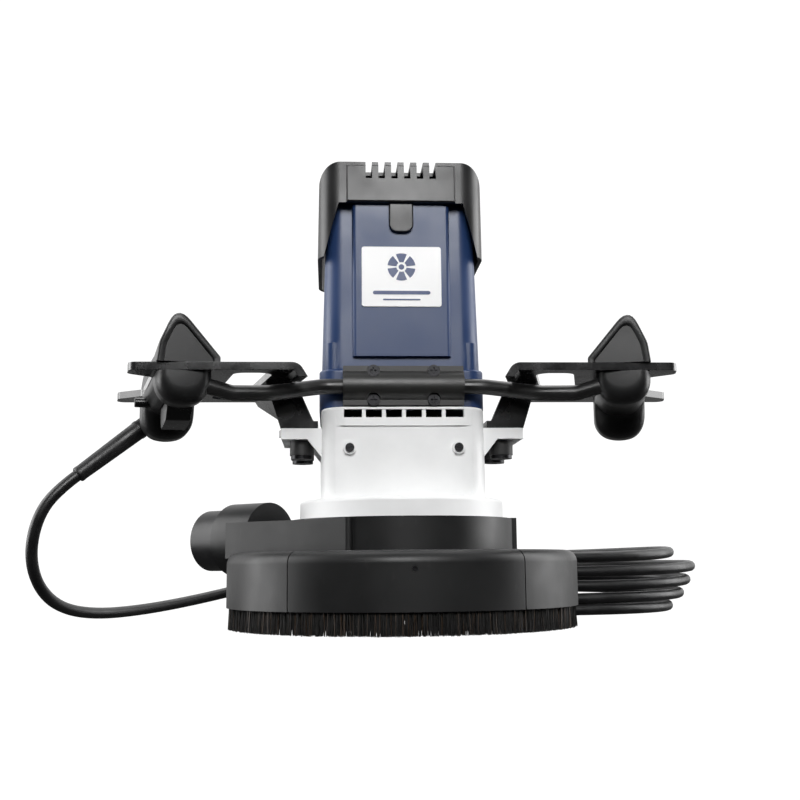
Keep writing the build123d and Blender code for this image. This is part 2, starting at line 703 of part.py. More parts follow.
with BuildPart() as carbon_brushes:
    for side in (-1, 1):
        low, high = sorted((side * (17 + running_gap), side * 36))
        box_between((low, motor_y - 4.9, 298.1), (high, motor_y + 4.9, 307.9))

with BuildPart() as control_module:
    block(58, 34, 334.2, 352, (0, motor_y), 3)
    with GridLocations(9, 40, 5, 1):
        with Locations((0, motor_y, 352)):
            Box(3, 30, 6, mode=Mode.SUBTRACT)

# ---------------------------------------------------------------- front bow and its clamp
tube_height = clamp_bottom + 15.5
tube_path = [
    (152, -69, 183), (131, -63, 177.5), (104, -56, 178.5), (62, clamp_face, tube_height),
    (-62, clamp_face, tube_height), (-104, -56, 178.5), (-131, -63, 177.5), (-152, -69, 183),
]

with BuildPart() as bow_tube:
    with BuildLine() as bow_line:
        FilletPolyline(*tube_path, radius=[16, 24, 30, 30, 24, 16])
    with BuildSketch(Plane(origin=bow_line.line @ 0, z_dir=bow_line.line % 0)):
        Circle(tube_radius)
        Circle(tube_radius - 1.5, mode=Mode.SUBTRACT)
    sweep()

clamp_holes = [(x, tube_height + dz) for x in (-23.5, 23.5) for dz in (-11.5, 11.5)]


def tube_groove():
    """The bed of the bow tube in a clamp half."""
    with BuildSketch(Plane.YZ.offset(-clamp_half_width - 5)) as bed:
        with Locations((clamp_face, tube_height)):
            Circle(tube_radius + seat_gap)
    extrude(bed.sketch, amount=2 * clamp_half_width + 10, mode=Mode.SUBTRACT)


with BuildPart() as bow_clamp_rear:
    box_between((-clamp_half_width, clamp_face + 0.4, clamp_bottom),
                (clamp_half_width, base_front - 0.1, base_top))
    fillet(bow_clamp_rear.edges().filter_by(Axis.Y), 2)
    tube_groove()
    for x, z in clamp_holes:
        with BuildSketch(Plane.XZ.offset(-base_front - 3)):
            with Locations((x, z)):
                Circle(2 + seat_gap)
        extrude(amount=14, mode=Mode.SUBTRACT)

with BuildPart() as bow_clamp_front:
    box_between((-clamp_half_width, clamp_face - 5.5, clamp_bottom),
                (clamp_half_width, clamp_face - 0.4, base_top))
    with BuildSketch(Plane.YZ.offset(-clamp_half_width)):
        with Locations((clamp_face, tube_height)):
            Circle(12.5)
    extrude(amount=2 * clamp_half_width)
    box_between((-80, clamp_face - 0.4, clamp_bottom - 1), (80, clamp_face + 20, base_top + 1),
                Mode.SUBTRACT)
    tube_groove()
    for x, z in clamp_holes:
        with BuildSketch(Plane.XZ.offset(-clamp_face - 1)):
            with Locations((x, z)):
                Circle(2 + seat_gap)
        extrude(amount=20, mode=Mode.SUBTRACT)
        with BuildSketch(Plane.XZ.offset(-clamp_face + 4.5)):
            with Locations((x, z)):
                Circle(5.2)
        extrude(amount=20, mode=Mode.SUBTRACT)

with BuildPart() as bow_clamp_screws:
    for x, z in clamp_holes:
        with BuildSketch(Plane.XZ.offset(-clamp_face - 7.5)):
            with Locations((x, z)):
                Circle(2)
        extrude(amount=12)
        with BuildSketch(Plane.XZ.offset(-clamp_face + 4.5)):
            with Locations((x, z)):
                Circle(4.6)
        extrude(amount=3)
        for width, height in ((5.5, 1.1), (1.1, 5.5)):
            with BuildSketch(Plane.XZ.offset(-clamp_face + 6)):
                with Locations((x, z)):
                    Rectangle(width, height)
            extrude(amount=3, mode=Mode.SUBTRACT)

# ---------------------------------------------------------------- handle frames
strap_slope = tan(radians(strap_lean))
plate_top = plate_bottom + plate_thickness
foot_inner_x = case_half_width + 2
stud_top = lug_top + plate_thickness - 1.5
lug_bottom = lug_top - lug_thickness
slant = splay_sine / splay_cosine


def side_line(cross_x, y):
    """The X of a line that runs with the grips and crosses the X axis at cross_x."""
    return cross_x + slant * y


with BuildPart() as right_handle_frame:
    # bent sheet: foot on the lug, leaning strap, then the flat plate
    bend_plane = Plane(
        origin=(bend_x, 0, 0), x_dir=(splay_cosine, -splay_sine, 0), z_dir=(-splay_sine, -splay_cosine, 0)
    )
    foot_in = -(plate_top - lug_top) * strap_slope
    strap_width = plate_thickness / cos(radians(strap_lean))
    with BuildSketch(bend_plane.offset(-130)) as sheet:
        with BuildLine():
            Polyline(
                (150, plate_top),
                (0, plate_top),
                (foot_in, lug_top),
                (foot_in + foot_length, lug_top),
                (foot_in + foot_length, lug_top + plate_thickness),
                (strap_width - (plate_bottom - lug_top) * strap_slope, lug_top + plate_thickness),
                (strap_width - plate_thickness * strap_slope, plate_bottom),
                (150, plate_bottom),
                close=True,
            )
        make_face()
        fillet(sheet.vertices().filter_by(lambda v: v.Y > plate_top - 1).sort_by(Axis.X)[0], 9)
    extrude(amount=260)
    # plan outline with the hand opening
    with BuildSketch(Plane.XY.offset(lug_top - 5)) as plan:
        with BuildLine():
            Polyline(
                (40, plate_front),
                (side_line(plate_outer_x, plate_front), plate_front),
                (side_line(plate_outer_x, -tab_reach), -tab_reach),
                (side_line(grip_x + plate_waist, -tab_reach + 16), -tab_reach + 16),
                (side_line(grip_x + plate_waist, tab_reach - 16), tab_reach - 16),
                (side_line(plate_outer_x, tab_reach), tab_reach),
                (side_line(plate_outer_x, plate_rear), plate_rear),
                (40, plate_rear),
                close=True,
            )
        make_face()
        fillet(plan.vertices().filter_by(lambda v: v.X > 100), 7)
    extrude(amount=100, mode=Mode.INTERSECT)
    with BuildSketch(Plane.XY.offset(lug_top - 5)) as opening:
        with BuildLine():
            Polyline(
                (side_line(bend_x + opening_inner, -hand_reach), -hand_reach),
                (side_line(grip_x - opening_outer, -hand_reach), -hand_reach),
                (side_line(grip_x - opening_outer, hand_reach), hand_reach),
                (side_line(bend_x + opening_inner, hand_reach), hand_reach),
                close=True,
            )
        make_face()
        fillet(opening.vertices(), 10)
    extrude(amount=100, mode=Mode.SUBTRACT)
    # side outline: the strap narrows down to its foot
    with BuildSketch(Plane.YZ.offset(20)):
        with BuildLine():
            Polyline(
                (plate_front - 5, plate_top + 5), (plate_rear + 5, plate_top + 5),
                (plate_rear + 5, plate_bottom - 2), (lug_rear - 2, lug_top + 12),
                (lug_rear - 2, lug_top - 5), (lug_front + 2, lug_top - 5), (lug_front + 2, lug_top + 12),
                (lug_front - 6, plate_bottom - 1),
                (-57, plate_bottom - 1), (-57, plate_bottom - 5), (plate_front - 5, plate_bottom - 5),
                close=True,
            )
        make_face()
    extrude(amount=300, mode=Mode.INTERSECT)
    box_between((foot_inner_x, lug_front + 2, lug_top),
                (lug_reach - 1, lug_rear - 2, lug_top + plate_thickness))
    # web along the strap's front edge
    with BuildSketch(Plane.XZ.offset(-lug_front - 2)):
        with BuildLine():
            Polyline(
                (web_foot[0], lug_top), (web_head[0], plate_bottom),
                (web_head[1], plate_bottom), (web_foot[1], lug_top),
                close=True,
            )
        make_face()
    extrude(amount=-web_thickness)
    for y in bolt_rows:
        ring(0, bolt_radius + 0.3, lug_top - 1, stud_top + 0.3, (bolt_x, y), Mode.SUBTRACT)

with BuildPart() as left_handle_frame:
    mirror(right_handle_frame.part, about=Plane.YZ)

with BuildPart() as handle_dampers:
    for side in (-1, 1):
        for y in bolt_rows:
            ring(bolt_radius + 0.4, damper_radius, lug_bottom - damper_height, lug_bottom, (side * bolt_x, y))

with BuildPart() as handle_bolts:
    for side in (-1, 1):
        for y in bolt_rows:
            bottom = lug_bottom - damper_height - washer_thickness
            ring(0, damper_radius - 0.8, bottom, bottom + washer_thickness, (side * bolt_x, y))
            ring(0, bolt_radius, bottom, stud_top, (side * bolt_x, y))
            with BuildSketch(Plane.XY.offset(bottom)):
                with Locations((side * bolt_x, y)):
                    RegularPolygon(bolt_radius, 6)
            extrude(amount=washer_thickness - 1, mode=Mode.SUBTRACT)

# ---------------------------------------------------------------- grips
# A grip is built along its own axes: x outboard, y to the rear, z up, over the point (grip_x, 0).
grip_place = Location((grip_x, 0, 0), (0, 0, -splay))
grip_inner = -27.5
grip_outer = 19.5
grip_ridge = 233.5
ridge_offset = 6.0
lobe_front_bottom = 168.0
lobe_rear_bottom = 156.0
grip_waist_bottom = 174.0
trigger_middle = -2.0
trigger_width = 19.0
trigger_rear = 12.0
trigger_front = -46.0
button_place = (30.0, 183.0)
button_radius = 4.0
pivot_radius = 1.5
tube_hole = tube_radius + 0.3
grip_screw_y = 66.0


def placed(piece):
    """A grip piece moved from its own axes to the right side of the machine."""
    with Locations(grip_place):
        add(piece)


with BuildPart() as upper_shape:
    with BuildSketch(Plane.XZ.offset(grip_half_length)) as ridge:
        with BuildLine():
            Polyline(
                (grip_inner, plate_top), (grip_inner, plate_top + 3), (ridge_offset - 2, grip_ridge + 2),
                (ridge_offset + 3, grip_ridge + 2), (grip_outer, plate_top + 9), (grip_outer, plate_top),
                close=True,
            )
        make_face()
        fillet(ridge.vertices().group_by(Axis.Y)[-1], 2.2)
    extrude(amount=-2 * grip_half_length)
    # side view: a shallow saddle for the palm
    with BuildSketch(Plane.YZ.offset(-60)):
        with BuildLine():
            Polyline((-grip_half_length, grip_ridge + 2), (-grip_half_length, plate_top),
                     (grip_half_length, plate_top), (grip_half_length, grip_ridge - 2))
            Spline((grip_half_length, grip_ridge - 2), (0, grip_ridge - 9),
                   (-grip_half_length, grip_ridge + 2), tangents=((-1, 0), (-1, 0)))
        make_face()
    extrude(amount=120, mode=Mode.INTERSECT)
    fillet(upper_shape.edges().group_by(Axis.Y)[0].group_by(Axis.Z)[-1], 0.8)
    # recessed field in the flat front face
    with BuildSketch(Plane.XZ.offset(grip_half_length)):
        with BuildLine():
            Polyline((grip_inner + 8, plate_top + 4), (ridge_offset, grip_ridge - 7),
                     (grip_outer - 4.5, plate_top + 9), (grip_outer - 4.5, plate_top + 4), close=True)
        make_face()
    extrude(amount=-1.5, mode=Mode.SUBTRACT)

with BuildPart() as lower_shape:
    # side view with a deep rear lobe and a shallow front lobe
    with BuildSketch(Plane.YZ.offset(-40)) as lobes:
        with BuildLine():
            Polyline(
                (-grip_half_length, plate_bottom), (-grip_half_length, lobe_front_bottom + 4),
                (-grip_half_length + 6, lobe_front_bottom), (-56, lobe_front_bottom),
                (-48, grip_waist_bottom), (40, grip_waist_bottom), (50, lobe_rear_bottom),
                (grip_half_length - 8, lobe_rear_bottom), (grip_half_length, lobe_rear_bottom + 10),
                (grip_half_length, plate_bottom), close=True,
            )
        make_face()
        low_corners = lobes.vertices().filter_by(lambda v: v.Y < plate_bottom - 1)
        fillet(low_corners, 3)
    extrude(amount=80)
    # plan view, a little waisted on the inner side
    with BuildSketch(Plane.XY.offset(100)) as waist:
        with BuildLine():
            Polyline((-22, -grip_half_length), (19, -grip_half_length), (21, grip_half_length),
                     (-24, grip_half_length))
            Spline((-24, grip_half_length), (-20, 0), (-22, -grip_half_length))
        make_face()
    extrude(amount=120, mode=Mode.INTERSECT)
    fillet(lower_shape.edges().filter_by(lambda e: e.center().Z < plate_bottom - 5
                                         and abs(e.center().X) > 15), 2.5)
    # bed for screws
    with Locations([(0, y, plate_bottom) for y in (-grip_screw_y, grip_screw_y)]):
        Cylinder(2.5 + seat_gap, 90, mode=Mode.SUBTRACT)
    with Locations([(0, -grip_screw_y, lobe_front_bottom), (0, grip_screw_y, lobe_rear_bottom)]):
        Cylinder(5, 12, mode=Mode.SUBTRACT)

with BuildPart() as right_grip_upper:
    placed(upper_shape.part)

with BuildPart() as right_grip_lower:
    placed(lower_shape.part)
    with BuildLine() as tube_line:
        Line(tube_path[0], tube_path[1])
    with BuildSketch(Plane(origin=tube_path[0], z_dir=tube_line.line % 0)):
        Circle(tube_hole)
    extrude(amount=40, mode=Mode.SUBTRACT)

with BuildPart() as left_shape:
    mirror(right_grip_lower.part, about=Plane.YZ)

# the trigger, its switch and the lock button stand in the left grip, on the mirrored grip axes
left_place = Location((-grip_x, 0, 0), (0, 0, splay))
trigger_top = 184.0
trigger_bottom = 158.0
pivot_place = (trigger_front + 7.0, 178.5)
relief_start = (-221.0, 78.4, 168.4)
relief_end = (-270.0, 59.0, 126.0)
relief_root = 12.0
relief_radii = (8.0, 6.6)

with BuildPart() as trigger_room:
    low = (-trigger_middle - trigger_width / 2 - 1, trigger_front - 1.5, trigger_bottom - 5)
    high = (-trigger_middle + trigger_width / 2 + 1, trigger_rear + 30, plate_bottom - 1)
    box_between(low, (high[0], trigger_rear + 1.5, high[2]))
    box_between((low[0] + 1, trigger_rear - 2, grip_waist_bottom + 3), high)
    with BuildSketch(Plane.YZ.offset(low[0] - 3)):
        with Locations(pivot_place):
            Circle(pivot_radius + seat_gap)
    extrude(amount=high[0] - low[0] + 6)
    with BuildSketch(Plane.YZ.offset(-40)):
        with Locations(button_place):
            Circle(button_radius + 3 * running_gap)
    extrude(amount=42)

relief_axis = Edge.make_line(relief_start, relief_end)

with BuildPart() as left_grip_upper:
    mirror(right_grip_upper.part, about=Plane.YZ)

with BuildPart() as left_grip_lower:
    add(left_shape.part)
    with Locations(left_place):
        add(trigger_room.part, mode=Mode.SUBTRACT)
    with BuildSketch(Plane(origin=relief_start, z_dir=relief_axis % 0)):
        Circle(relief_radii[0] + seat_gap)
    extrude(amount=-relief_root, mode=Mode.SUBTRACT)
    with BuildSketch(Plane(origin=relief_start, z_dir=relief_axis % 0)):
        Circle(relief_radii[0] + 3)
    extrude(amount=20, mode=Mode.SUBTRACT)

with BuildPart() as trigger_shape:
    half = trigger_width / 2
    with BuildSketch(Plane.YZ.offset(-trigger_middle - half)) as trigger_side:
        with BuildLine():
            Polyline(
                (trigger_front, trigger_top), (trigger_front, 172), (trigger_front + 14, trigger_bottom + 3),
                (trigger_rear - 6, trigger_bottom), (trigger_rear, trigger_bottom + 8),
                (trigger_rear, trigger_top),
                close=True,
            )
        make_face()
        fillet(trigger_side.vertices().filter_by(lambda v: v.Y < 170), 4)
    extrude(amount=trigger_width)
    box_between((-trigger_middle - half + 2, trigger_front + 12, trigger_bottom + 5),
                (-trigger_middle + half - 2, trigger_rear - 2.5, trigger_top + 1), Mode.SUBTRACT)
    with BuildSketch(Plane.YZ.offset(-40)):
        with Locations(pivot_place):
            Circle(pivot_radius + running_gap)
    extrude(amount=80, mode=Mode.SUBTRACT)

with BuildPart() as trigger:
    with Locations(left_place):
        add(trigger_shape.part)

with BuildPart() as pin_shape:
    with BuildSketch(Plane.YZ.offset(-trigger_middle - half - 3.5)):
        with Locations(pivot_place):
            Circle(pivot_radius)
    extrude(amount=trigger_width + 7)

with BuildPart() as trigger_pin:
    with Locations(left_place):
        add(pin_shape.part)

with BuildPart() as trigger_switch:
    with Locations(left_place):
        with Locations((-trigger_middle, trigger_rear + 16, 184)):
            Box(15, 20, 12)

with BuildPart() as button_shape:
    with BuildSketch(Plane.YZ.offset(-27.5)):
        with Locations(button_place):
            Circle(button_radius)
    extrude(amount=15)
    fillet(button_shape.edges().group_by(Axis.X)[0], 1)

with BuildPart() as lock_button:
    with Locations(left_place):
        add(button_shape.part)

with BuildPart() as grip_screws:
    for y, bottom in ((-grip_screw_y, lobe_front_bottom), (grip_screw_y, lobe_rear_bottom)):
        x_place = grip_x + y * splay_sine
        for side in (-1, 1):
            screw((side * x_place, y * splay_cosine, bottom + 6), plate_bottom - bottom - 6.5, 2.5, 4.4, 3.5,
                  points_up=True)

with BuildPart() as strain_relief:
    root = Plane(origin=relief_start, z_dir=relief_axis % 0)
    relief_length = relief_axis.length
    with BuildSketch(root):
        Circle(relief_radii[0])
    with BuildSketch(root.offset(relief_length)):
        Circle(relief_radii[1])
    loft()
    with BuildSketch(root.offset(-relief_root + 0.2)):
        Circle(relief_radii[0])
    extrude(amount=relief_root - 0.2)

# ---------------------------------------------------------------- cord
cord_points = [
    relief_end, (-288, 51.9, 110.4), (-301, 51, 87), (-307, 60, 58), (-304, 80, 32), (-292, 109, 14),
    (-269, 145, 7), (-233, 183, 9), (-186, 215, 17), (-130, 240, 30), (-68, 259, 42), (-2, 276, 52),
    (62, 294, 57), (118, 306, 57.5),
]
coil_centre = (155.0, 219.0)
coil_long = 300.0
coil_wide = 200.0
coil_band = 36.0
coil_height = 63.0


def corner_radii(points):
    """The largest tangent arc at each corner: 0.45 of the shorter run over the tangent of half the turn."""
    radii = []
    for a, b, c in zip(points, points[1:], points[2:]):
        before, after = Vector(*b) - Vector(*a), Vector(*c) - Vector(*b)
        half_turn = radians(before.get_angle(after)) / 2
        radii.append(0.45 * min(before.length, after.length) / tan(half_turn))
    return radii


cord_radii = corner_radii(cord_points)
print("cord radii", [round(r) for r in cord_radii])

with BuildPart() as cord_lead:
    with BuildLine() as cord_line:
        FilletPolyline(*cord_points, radius=cord_radii)
    with BuildSketch(Plane(origin=cord_line.line @ 0, z_dir=cord_line.line % 0)):
        Circle(cord_radius)
    sweep()
lead_length = sum(edge.length for edge in cord_line.edges())
print("cord lead", round(lead_length), round(cord_lead.part.volume / (pi * cord_radius ** 2)))

plug_place = (106.0, coil_centre[1], 19.0)
plug_radius = 18.0
plug_length = 38.0
cone_length = 14.0
sleeve_length = 38.0
sleeve_start = plug_place[0] - cone_length - sleeve_length

with BuildPart() as cord_coil:
    with BuildSketch():
        with Locations(coil_centre):
            SlotOverall(coil_long, coil_wide)
            SlotOverall(coil_long - 2 * coil_band, coil_wide - 2 * coil_band, mode=Mode.SUBTRACT)
    extrude(amount=coil_height)
    # end of the cord, from the coil to the plug's sleeve
    with BuildSketch(Plane.YZ.offset(sleeve_start)):
        with Locations(plug_place[1:]):
            Circle(cord_radius)
    extrude(amount=-coil_band)

with BuildPart() as plug:
    with BuildSketch(Plane.YZ.offset(plug_place[0])):
        with Locations(plug_place[1:]):
            Circle(plug_radius)
    extrude(amount=plug_length)
    fillet(plug.edges().group_by(Axis.X)[-1], 2)
    with BuildSketch(Plane.YZ.offset(plug_place[0])):
        with Locations(plug_place[1:]):
            Circle(plug_radius - 1)
    with BuildSketch(Plane.YZ.offset(plug_place[0] - cone_length)):
        with Locations(plug_place[1:]):
            Circle(9)
    loft()
    with BuildSketch(Plane.YZ.offset(plug_place[0] - cone_length)):
        with Locations(plug_place[1:]):
            Circle(7.5)
    extrude(amount=-sleeve_length)
    with BuildSketch(Plane.YZ.offset(plug_place[0] + plug_length)):
        for pin_y in (-9.5, 9.5):
            with Locations((plug_place[1] + pin_y, plug_place[2])):
                Circle(2.4)
    extrude(amount=19)

# ---------------------------------------------------------------- write the pieces
pieces = {
    "hood_shell": hood_shell, "hood_segment": hood_segment, "segment_latch": segment_latch,
    "brush_ring": brush_ring, "segment_brush": segment_brush, "hose_spigot": hose_spigot,
    "hood_screws": hood_screws, "gear_cover": gear_cover, "gear_housing": gear_housing,
    "gear_cover_screws": gear_cover_screws, "spindle_seal": spindle_seal,
    "lower_bearing_outer": lower_bearing_outer, "lower_bearing_inner": lower_bearing_inner,
    "upper_bush": upper_bush, "spindle": spindle, "spindle_key": spindle_key, "spindle_gear": spindle_gear,
    "wheel_flange": wheel_flange, "cup_wheel": cup_wheel, "diamond_segments": diamond_segments,
    "clamp_nut": clamp_nut, "motor_base": motor_base, "motor_housing": motor_housing,
    "motor_screws": motor_screws, "label_plate": label_plate, "top_cap": top_cap,
    "cap_tongue": cap_tongue, "stator_core": stator_core, "field_coils": field_coils,
    "armature_shaft": armature_shaft, "armature_core": armature_core,
    "armature_windings": armature_windings, "commutator": commutator, "cooling_fan": cooling_fan,
    "armature_bearing_lower": armature_bearing_lower, "armature_bearing_upper": armature_bearing_upper,
    "brush_holders": brush_holders, "carbon_brushes": carbon_brushes, "control_module": control_module,
    "bow_tube": bow_tube, "bow_clamp_rear": bow_clamp_rear, "bow_clamp_front": bow_clamp_front,
    "bow_clamp_screws": bow_clamp_screws, "left_handle_frame": left_handle_frame,
    "right_handle_frame": right_handle_frame, "handle_dampers": handle_dampers,
    "handle_bolts": handle_bolts, "left_grip_upper": left_grip_upper, "left_grip_lower": left_grip_lower,
    "right_grip_upper": right_grip_upper, "right_grip_lower": right_grip_lower, "trigger": trigger,
    "trigger_pin": trigger_pin, "grip_screws": grip_screws, "trigger_switch": trigger_switch,
    "lock_button": lock_button,
    "strain_relief": strain_relief, "cord_lead": cord_lead, "cord_coil": cord_coil, "plug": plug,
}
for name, piece in pieces.items():
    piece.part.label = name
    export_step(piece.part, f"parts/{name}.step")
print(len(pieces), "pieces")
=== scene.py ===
import math

import bmesh
import bpy
from mathutils import Matrix, Vector
from mathutils.bvhtree import BVHTree


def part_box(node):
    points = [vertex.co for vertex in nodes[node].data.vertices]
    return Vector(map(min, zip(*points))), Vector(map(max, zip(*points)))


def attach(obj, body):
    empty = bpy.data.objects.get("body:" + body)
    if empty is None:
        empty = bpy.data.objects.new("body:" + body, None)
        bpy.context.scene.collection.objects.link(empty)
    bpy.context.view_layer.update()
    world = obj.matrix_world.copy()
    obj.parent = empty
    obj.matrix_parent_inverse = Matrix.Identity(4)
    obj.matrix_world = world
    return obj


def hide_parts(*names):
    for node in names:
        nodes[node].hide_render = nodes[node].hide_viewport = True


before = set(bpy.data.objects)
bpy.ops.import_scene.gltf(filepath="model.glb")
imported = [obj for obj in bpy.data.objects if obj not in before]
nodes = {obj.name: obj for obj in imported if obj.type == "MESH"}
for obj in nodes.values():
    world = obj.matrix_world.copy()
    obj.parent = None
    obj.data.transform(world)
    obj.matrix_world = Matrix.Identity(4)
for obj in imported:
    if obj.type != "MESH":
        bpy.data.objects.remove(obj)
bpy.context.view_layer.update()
print("frame loaded", len(nodes), "nodes")


def mm(x, y, z):
    return Vector((x, y, z)) / 1000


camSet = {
    "distance": 0.8955,      # from the spindle axis, on the floor plan
    "height": 0.0488,
    "aside": 3.72,           # degrees to the left of straight in front
    "pitch": 8.43,
    "pan": 0.01,
    "roll": -0.57,
    "lens": 50.0,
    "sensor": 36.0,
    "clip": (0.05, 60),
}


def makeCamera(s):
    aside, pitch, pan, roll = (math.radians(s[k]) for k in ("aside", "pitch", "pan", "roll"))
    level = Vector((math.sin(aside - pan), math.cos(aside - pan), 0))
    right = Vector((level.y, -level.x, 0))
    lift = Vector((0, 0, 1))
    look = level * math.cos(pitch) + lift * math.sin(pitch)
    up = lift * math.cos(pitch) - level * math.sin(pitch)
    rightRolled = right * math.cos(roll) + up * math.sin(roll)
    upRolled = up * math.cos(roll) - right * math.sin(roll)
    data = bpy.data.cameras.new("photoCamera")
    data.lens = s["lens"]
    data.sensor_width = s["sensor"]
    data.clip_start, data.clip_end = s["clip"]
    cam = bpy.data.objects.new("photoCamera", data)
    bpy.context.collection.objects.link(cam)
    turn = Matrix((rightRolled, upRolled, -look)).transposed().to_4x4()
    place = Vector((-s["distance"] * math.sin(aside), -s["distance"] * math.cos(aside), s["height"]))
    cam.matrix_world = Matrix.Translation(place) @ turn
    bpy.context.scene.camera = cam
    print("camera set")


makeCamera(camSet)


def makeMaterial(name, colour, rough, metal=0.0, coat=0.0, coatRough=0.1, sheen=0.0, specular=0.5):
    mat = bpy.data.materials.new(name)
    mat.use_nodes = True
    shader = mat.node_tree.nodes["Principled BSDF"]
    shader.inputs["Base Color"].default_value = (*colour, 1)
    shader.inputs["Roughness"].default_value = rough
    shader.inputs["Metallic"].default_value = metal
    shader.inputs["Coat Weight"].default_value = coat
    shader.inputs["Coat Roughness"].default_value = coatRough
    shader.inputs["Sheen Weight"].default_value = sheen
    shader.inputs["Specular IOR Level"].default_value = specular
    return mat


def noiseNode(mat, scale, detail=3.0, stretch=(1, 1, 1), rough=0.55):
    tree = mat.node_tree
    place = tree.nodes.new("ShaderNodeTexCoord")
    mapping = tree.nodes.new("ShaderNodeMapping")
    mapping.inputs["Scale"].default_value = stretch
    tree.links.new(place.outputs["Object"], mapping.inputs["Vector"])
    tex = tree.nodes.new("ShaderNodeTexNoise")
    tex.inputs["Scale"].default_value = scale
    tex.inputs["Detail"].default_value = detail
    tex.inputs["Roughness"].default_value = rough
    tree.links.new(mapping.outputs["Vector"], tex.inputs["Vector"])
    return tex


def rampNode(mat, source, stops):
    ramp = mat.node_tree.nodes.new("ShaderNodeValToRGB")
    ramp.color_ramp.elements[0].position = stops[0][0]
    ramp.color_ramp.elements[0].color = (*stops[0][1], 1)
    ramp.color_ramp.elements[1].position = stops[-1][0]
    ramp.color_ramp.elements[1].color = (*stops[-1][1], 1)
    for place, colour in stops[1:-1]:
        step = ramp.color_ramp.elements.new(place)
        step.color = (*colour, 1)
    mat.node_tree.links.new(source, ramp.inputs["Fac"])
    return ramp


def rangeNode(mat, source, low, high, inLow=0.35, inHigh=0.65):
    node = mat.node_tree.nodes.new("ShaderNodeMapRange")
    node.inputs["From Min"].default_value = inLow
    node.inputs["From Max"].default_value = inHigh
    node.inputs["To Min"].default_value = low
    node.inputs["To Max"].default_value = high
    mat.node_tree.links.new(source, node.inputs["Value"])
    return node


def addBump(mat, source, strength, distance):
    tree = mat.node_tree
    bump = tree.nodes.new("ShaderNodeBump")
    bump.inputs["Strength"].default_value = strength
    bump.inputs["Distance"].default_value = distance
    tree.links.new(source, bump.inputs["Height"])
    shader = tree.nodes["Principled BSDF"]
    if shader.inputs["Normal"].is_linked:
        tree.links.new(shader.inputs["Normal"].links[0].from_socket, bump.inputs["Normal"])
    tree.links.new(bump.outputs["Normal"], shader.inputs["Normal"])


def shade(colour, factor):
    return tuple(min(1.0, c * factor) for c in colour)


def mouldedPlastic(name, colour, rough, grain=1400.0, grainDepth=0.00004, mottle=0.12, scuff=0.25,
                   specular=0.5):    # a fine spark-eroded grain, slow tone changes and a few dull scuffs
    mat = makeMaterial(name, colour, rough, specular=specular)
    tree = mat.node_tree
    shader = tree.nodes["Principled BSDF"]
    slow = noiseNode(mat, 22.0, 4.0)
    tone = rampNode(mat, slow.outputs["Fac"], [
        (0.3, shade(colour, 1 - mottle)), (0.55, colour), (0.8, shade(colour, 1 + mottle))])
    worn = noiseNode(mat, 160.0, 6.0, stretch=(1, 1, 0.35))
    wear = rampNode(mat, worn.outputs["Fac"], [(0.6, (0, 0, 0)), (0.78, (scuff, scuff, scuff))])
    mix = tree.nodes.new("ShaderNodeMix")
    mix.data_type = "RGBA"
    tree.links.new(wear.outputs["Color"], mix.inputs["Factor"])
    tree.links.new(tone.outputs["Color"], mix.inputs["A"])
    mix.inputs["B"].default_value = (*[c * 1.3 + 0.02 for c in colour], 1)
    tree.links.new(mix.outputs["Result"], shader.inputs["Base Color"])
    gloss = rangeNode(mat, slow.outputs["Fac"], rough - 0.05, rough + 0.07)
    tree.links.new(gloss.outputs["Result"], shader.inputs["Roughness"])
    addBump(mat, noiseNode(mat, grain, 2.0).outputs["Fac"], 0.35, grainDepth)
    return mat


def castMetal(name, colour, rough, metal, grain=900.0, depth=0.00012):    # painted, with an orange-peel skin
    mat = makeMaterial(name, colour, rough, metal=metal)
    tree = mat.node_tree
    shader = tree.nodes["Principled BSDF"]
    slow = noiseNode(mat, 30.0, 5.0)
    tone = rampNode(mat, slow.outputs["Fac"], [(0.3, shade(colour, 0.93)), (0.7, colour)])
    tree.links.new(tone.outputs["Color"], shader.inputs["Base Color"])
    gloss = rangeNode(mat, slow.outputs["Fac"], rough - 0.06, rough + 0.08)
    tree.links.new(gloss.outputs["Result"], shader.inputs["Roughness"])
    addBump(mat, noiseNode(mat, grain, 4.0).outputs["Fac"], 0.3, depth)
    return mat


def turnedMetal(name, colour, rough, stretch=(1, 1, 30)):    # machined, with fine tool marks
    mat = makeMaterial(name, colour, rough, metal=1.0)
    marks = noiseNode(mat, 260.0, 3.0, stretch=stretch)
    tree = mat.node_tree
    shader = tree.nodes["Principled BSDF"]
    gloss = rangeNode(mat, marks.outputs["Fac"], rough - 0.08, rough + 0.1)
    tree.links.new(gloss.outputs["Result"], shader.inputs["Roughness"])
    tone = rampNode(mat, noiseNode(mat, 40.0).outputs["Fac"], [(0.35, shade(colour, 0.8)), (0.7, colour)])
    tree.links.new(tone.outputs["Color"], shader.inputs["Base Color"])
    addBump(mat, marks.outputs["Fac"], 0.2, 0.00003)
    return mat


def glossPaint(name, colour, rough):    # stove enamel: a clear coat over a slightly wavy skin
    mat = makeMaterial(name, colour, rough, coat=0.6, coatRough=0.12)
    tree = mat.node_tree
    shader = tree.nodes["Principled BSDF"]
    slow = noiseNode(mat, 45.0, 4.0)
    gloss = rangeNode(mat, slow.outputs["Fac"], rough - 0.06, rough + 0.1)
    tree.links.new(gloss.outputs["Result"], shader.inputs["Roughness"])
    specks = noiseNode(mat, 180.0, 6.0)
    tone = rampNode(mat, specks.outputs["Fac"], [(0.4, colour), (0.8, shade(colour, 2.2))])
    tree.links.new(tone.outputs["Color"], shader.inputs["Base Color"])
    addBump(mat, noiseNode(mat, 320.0, 2.0).outputs["Fac"], 0.12, 0.0001)
    return mat


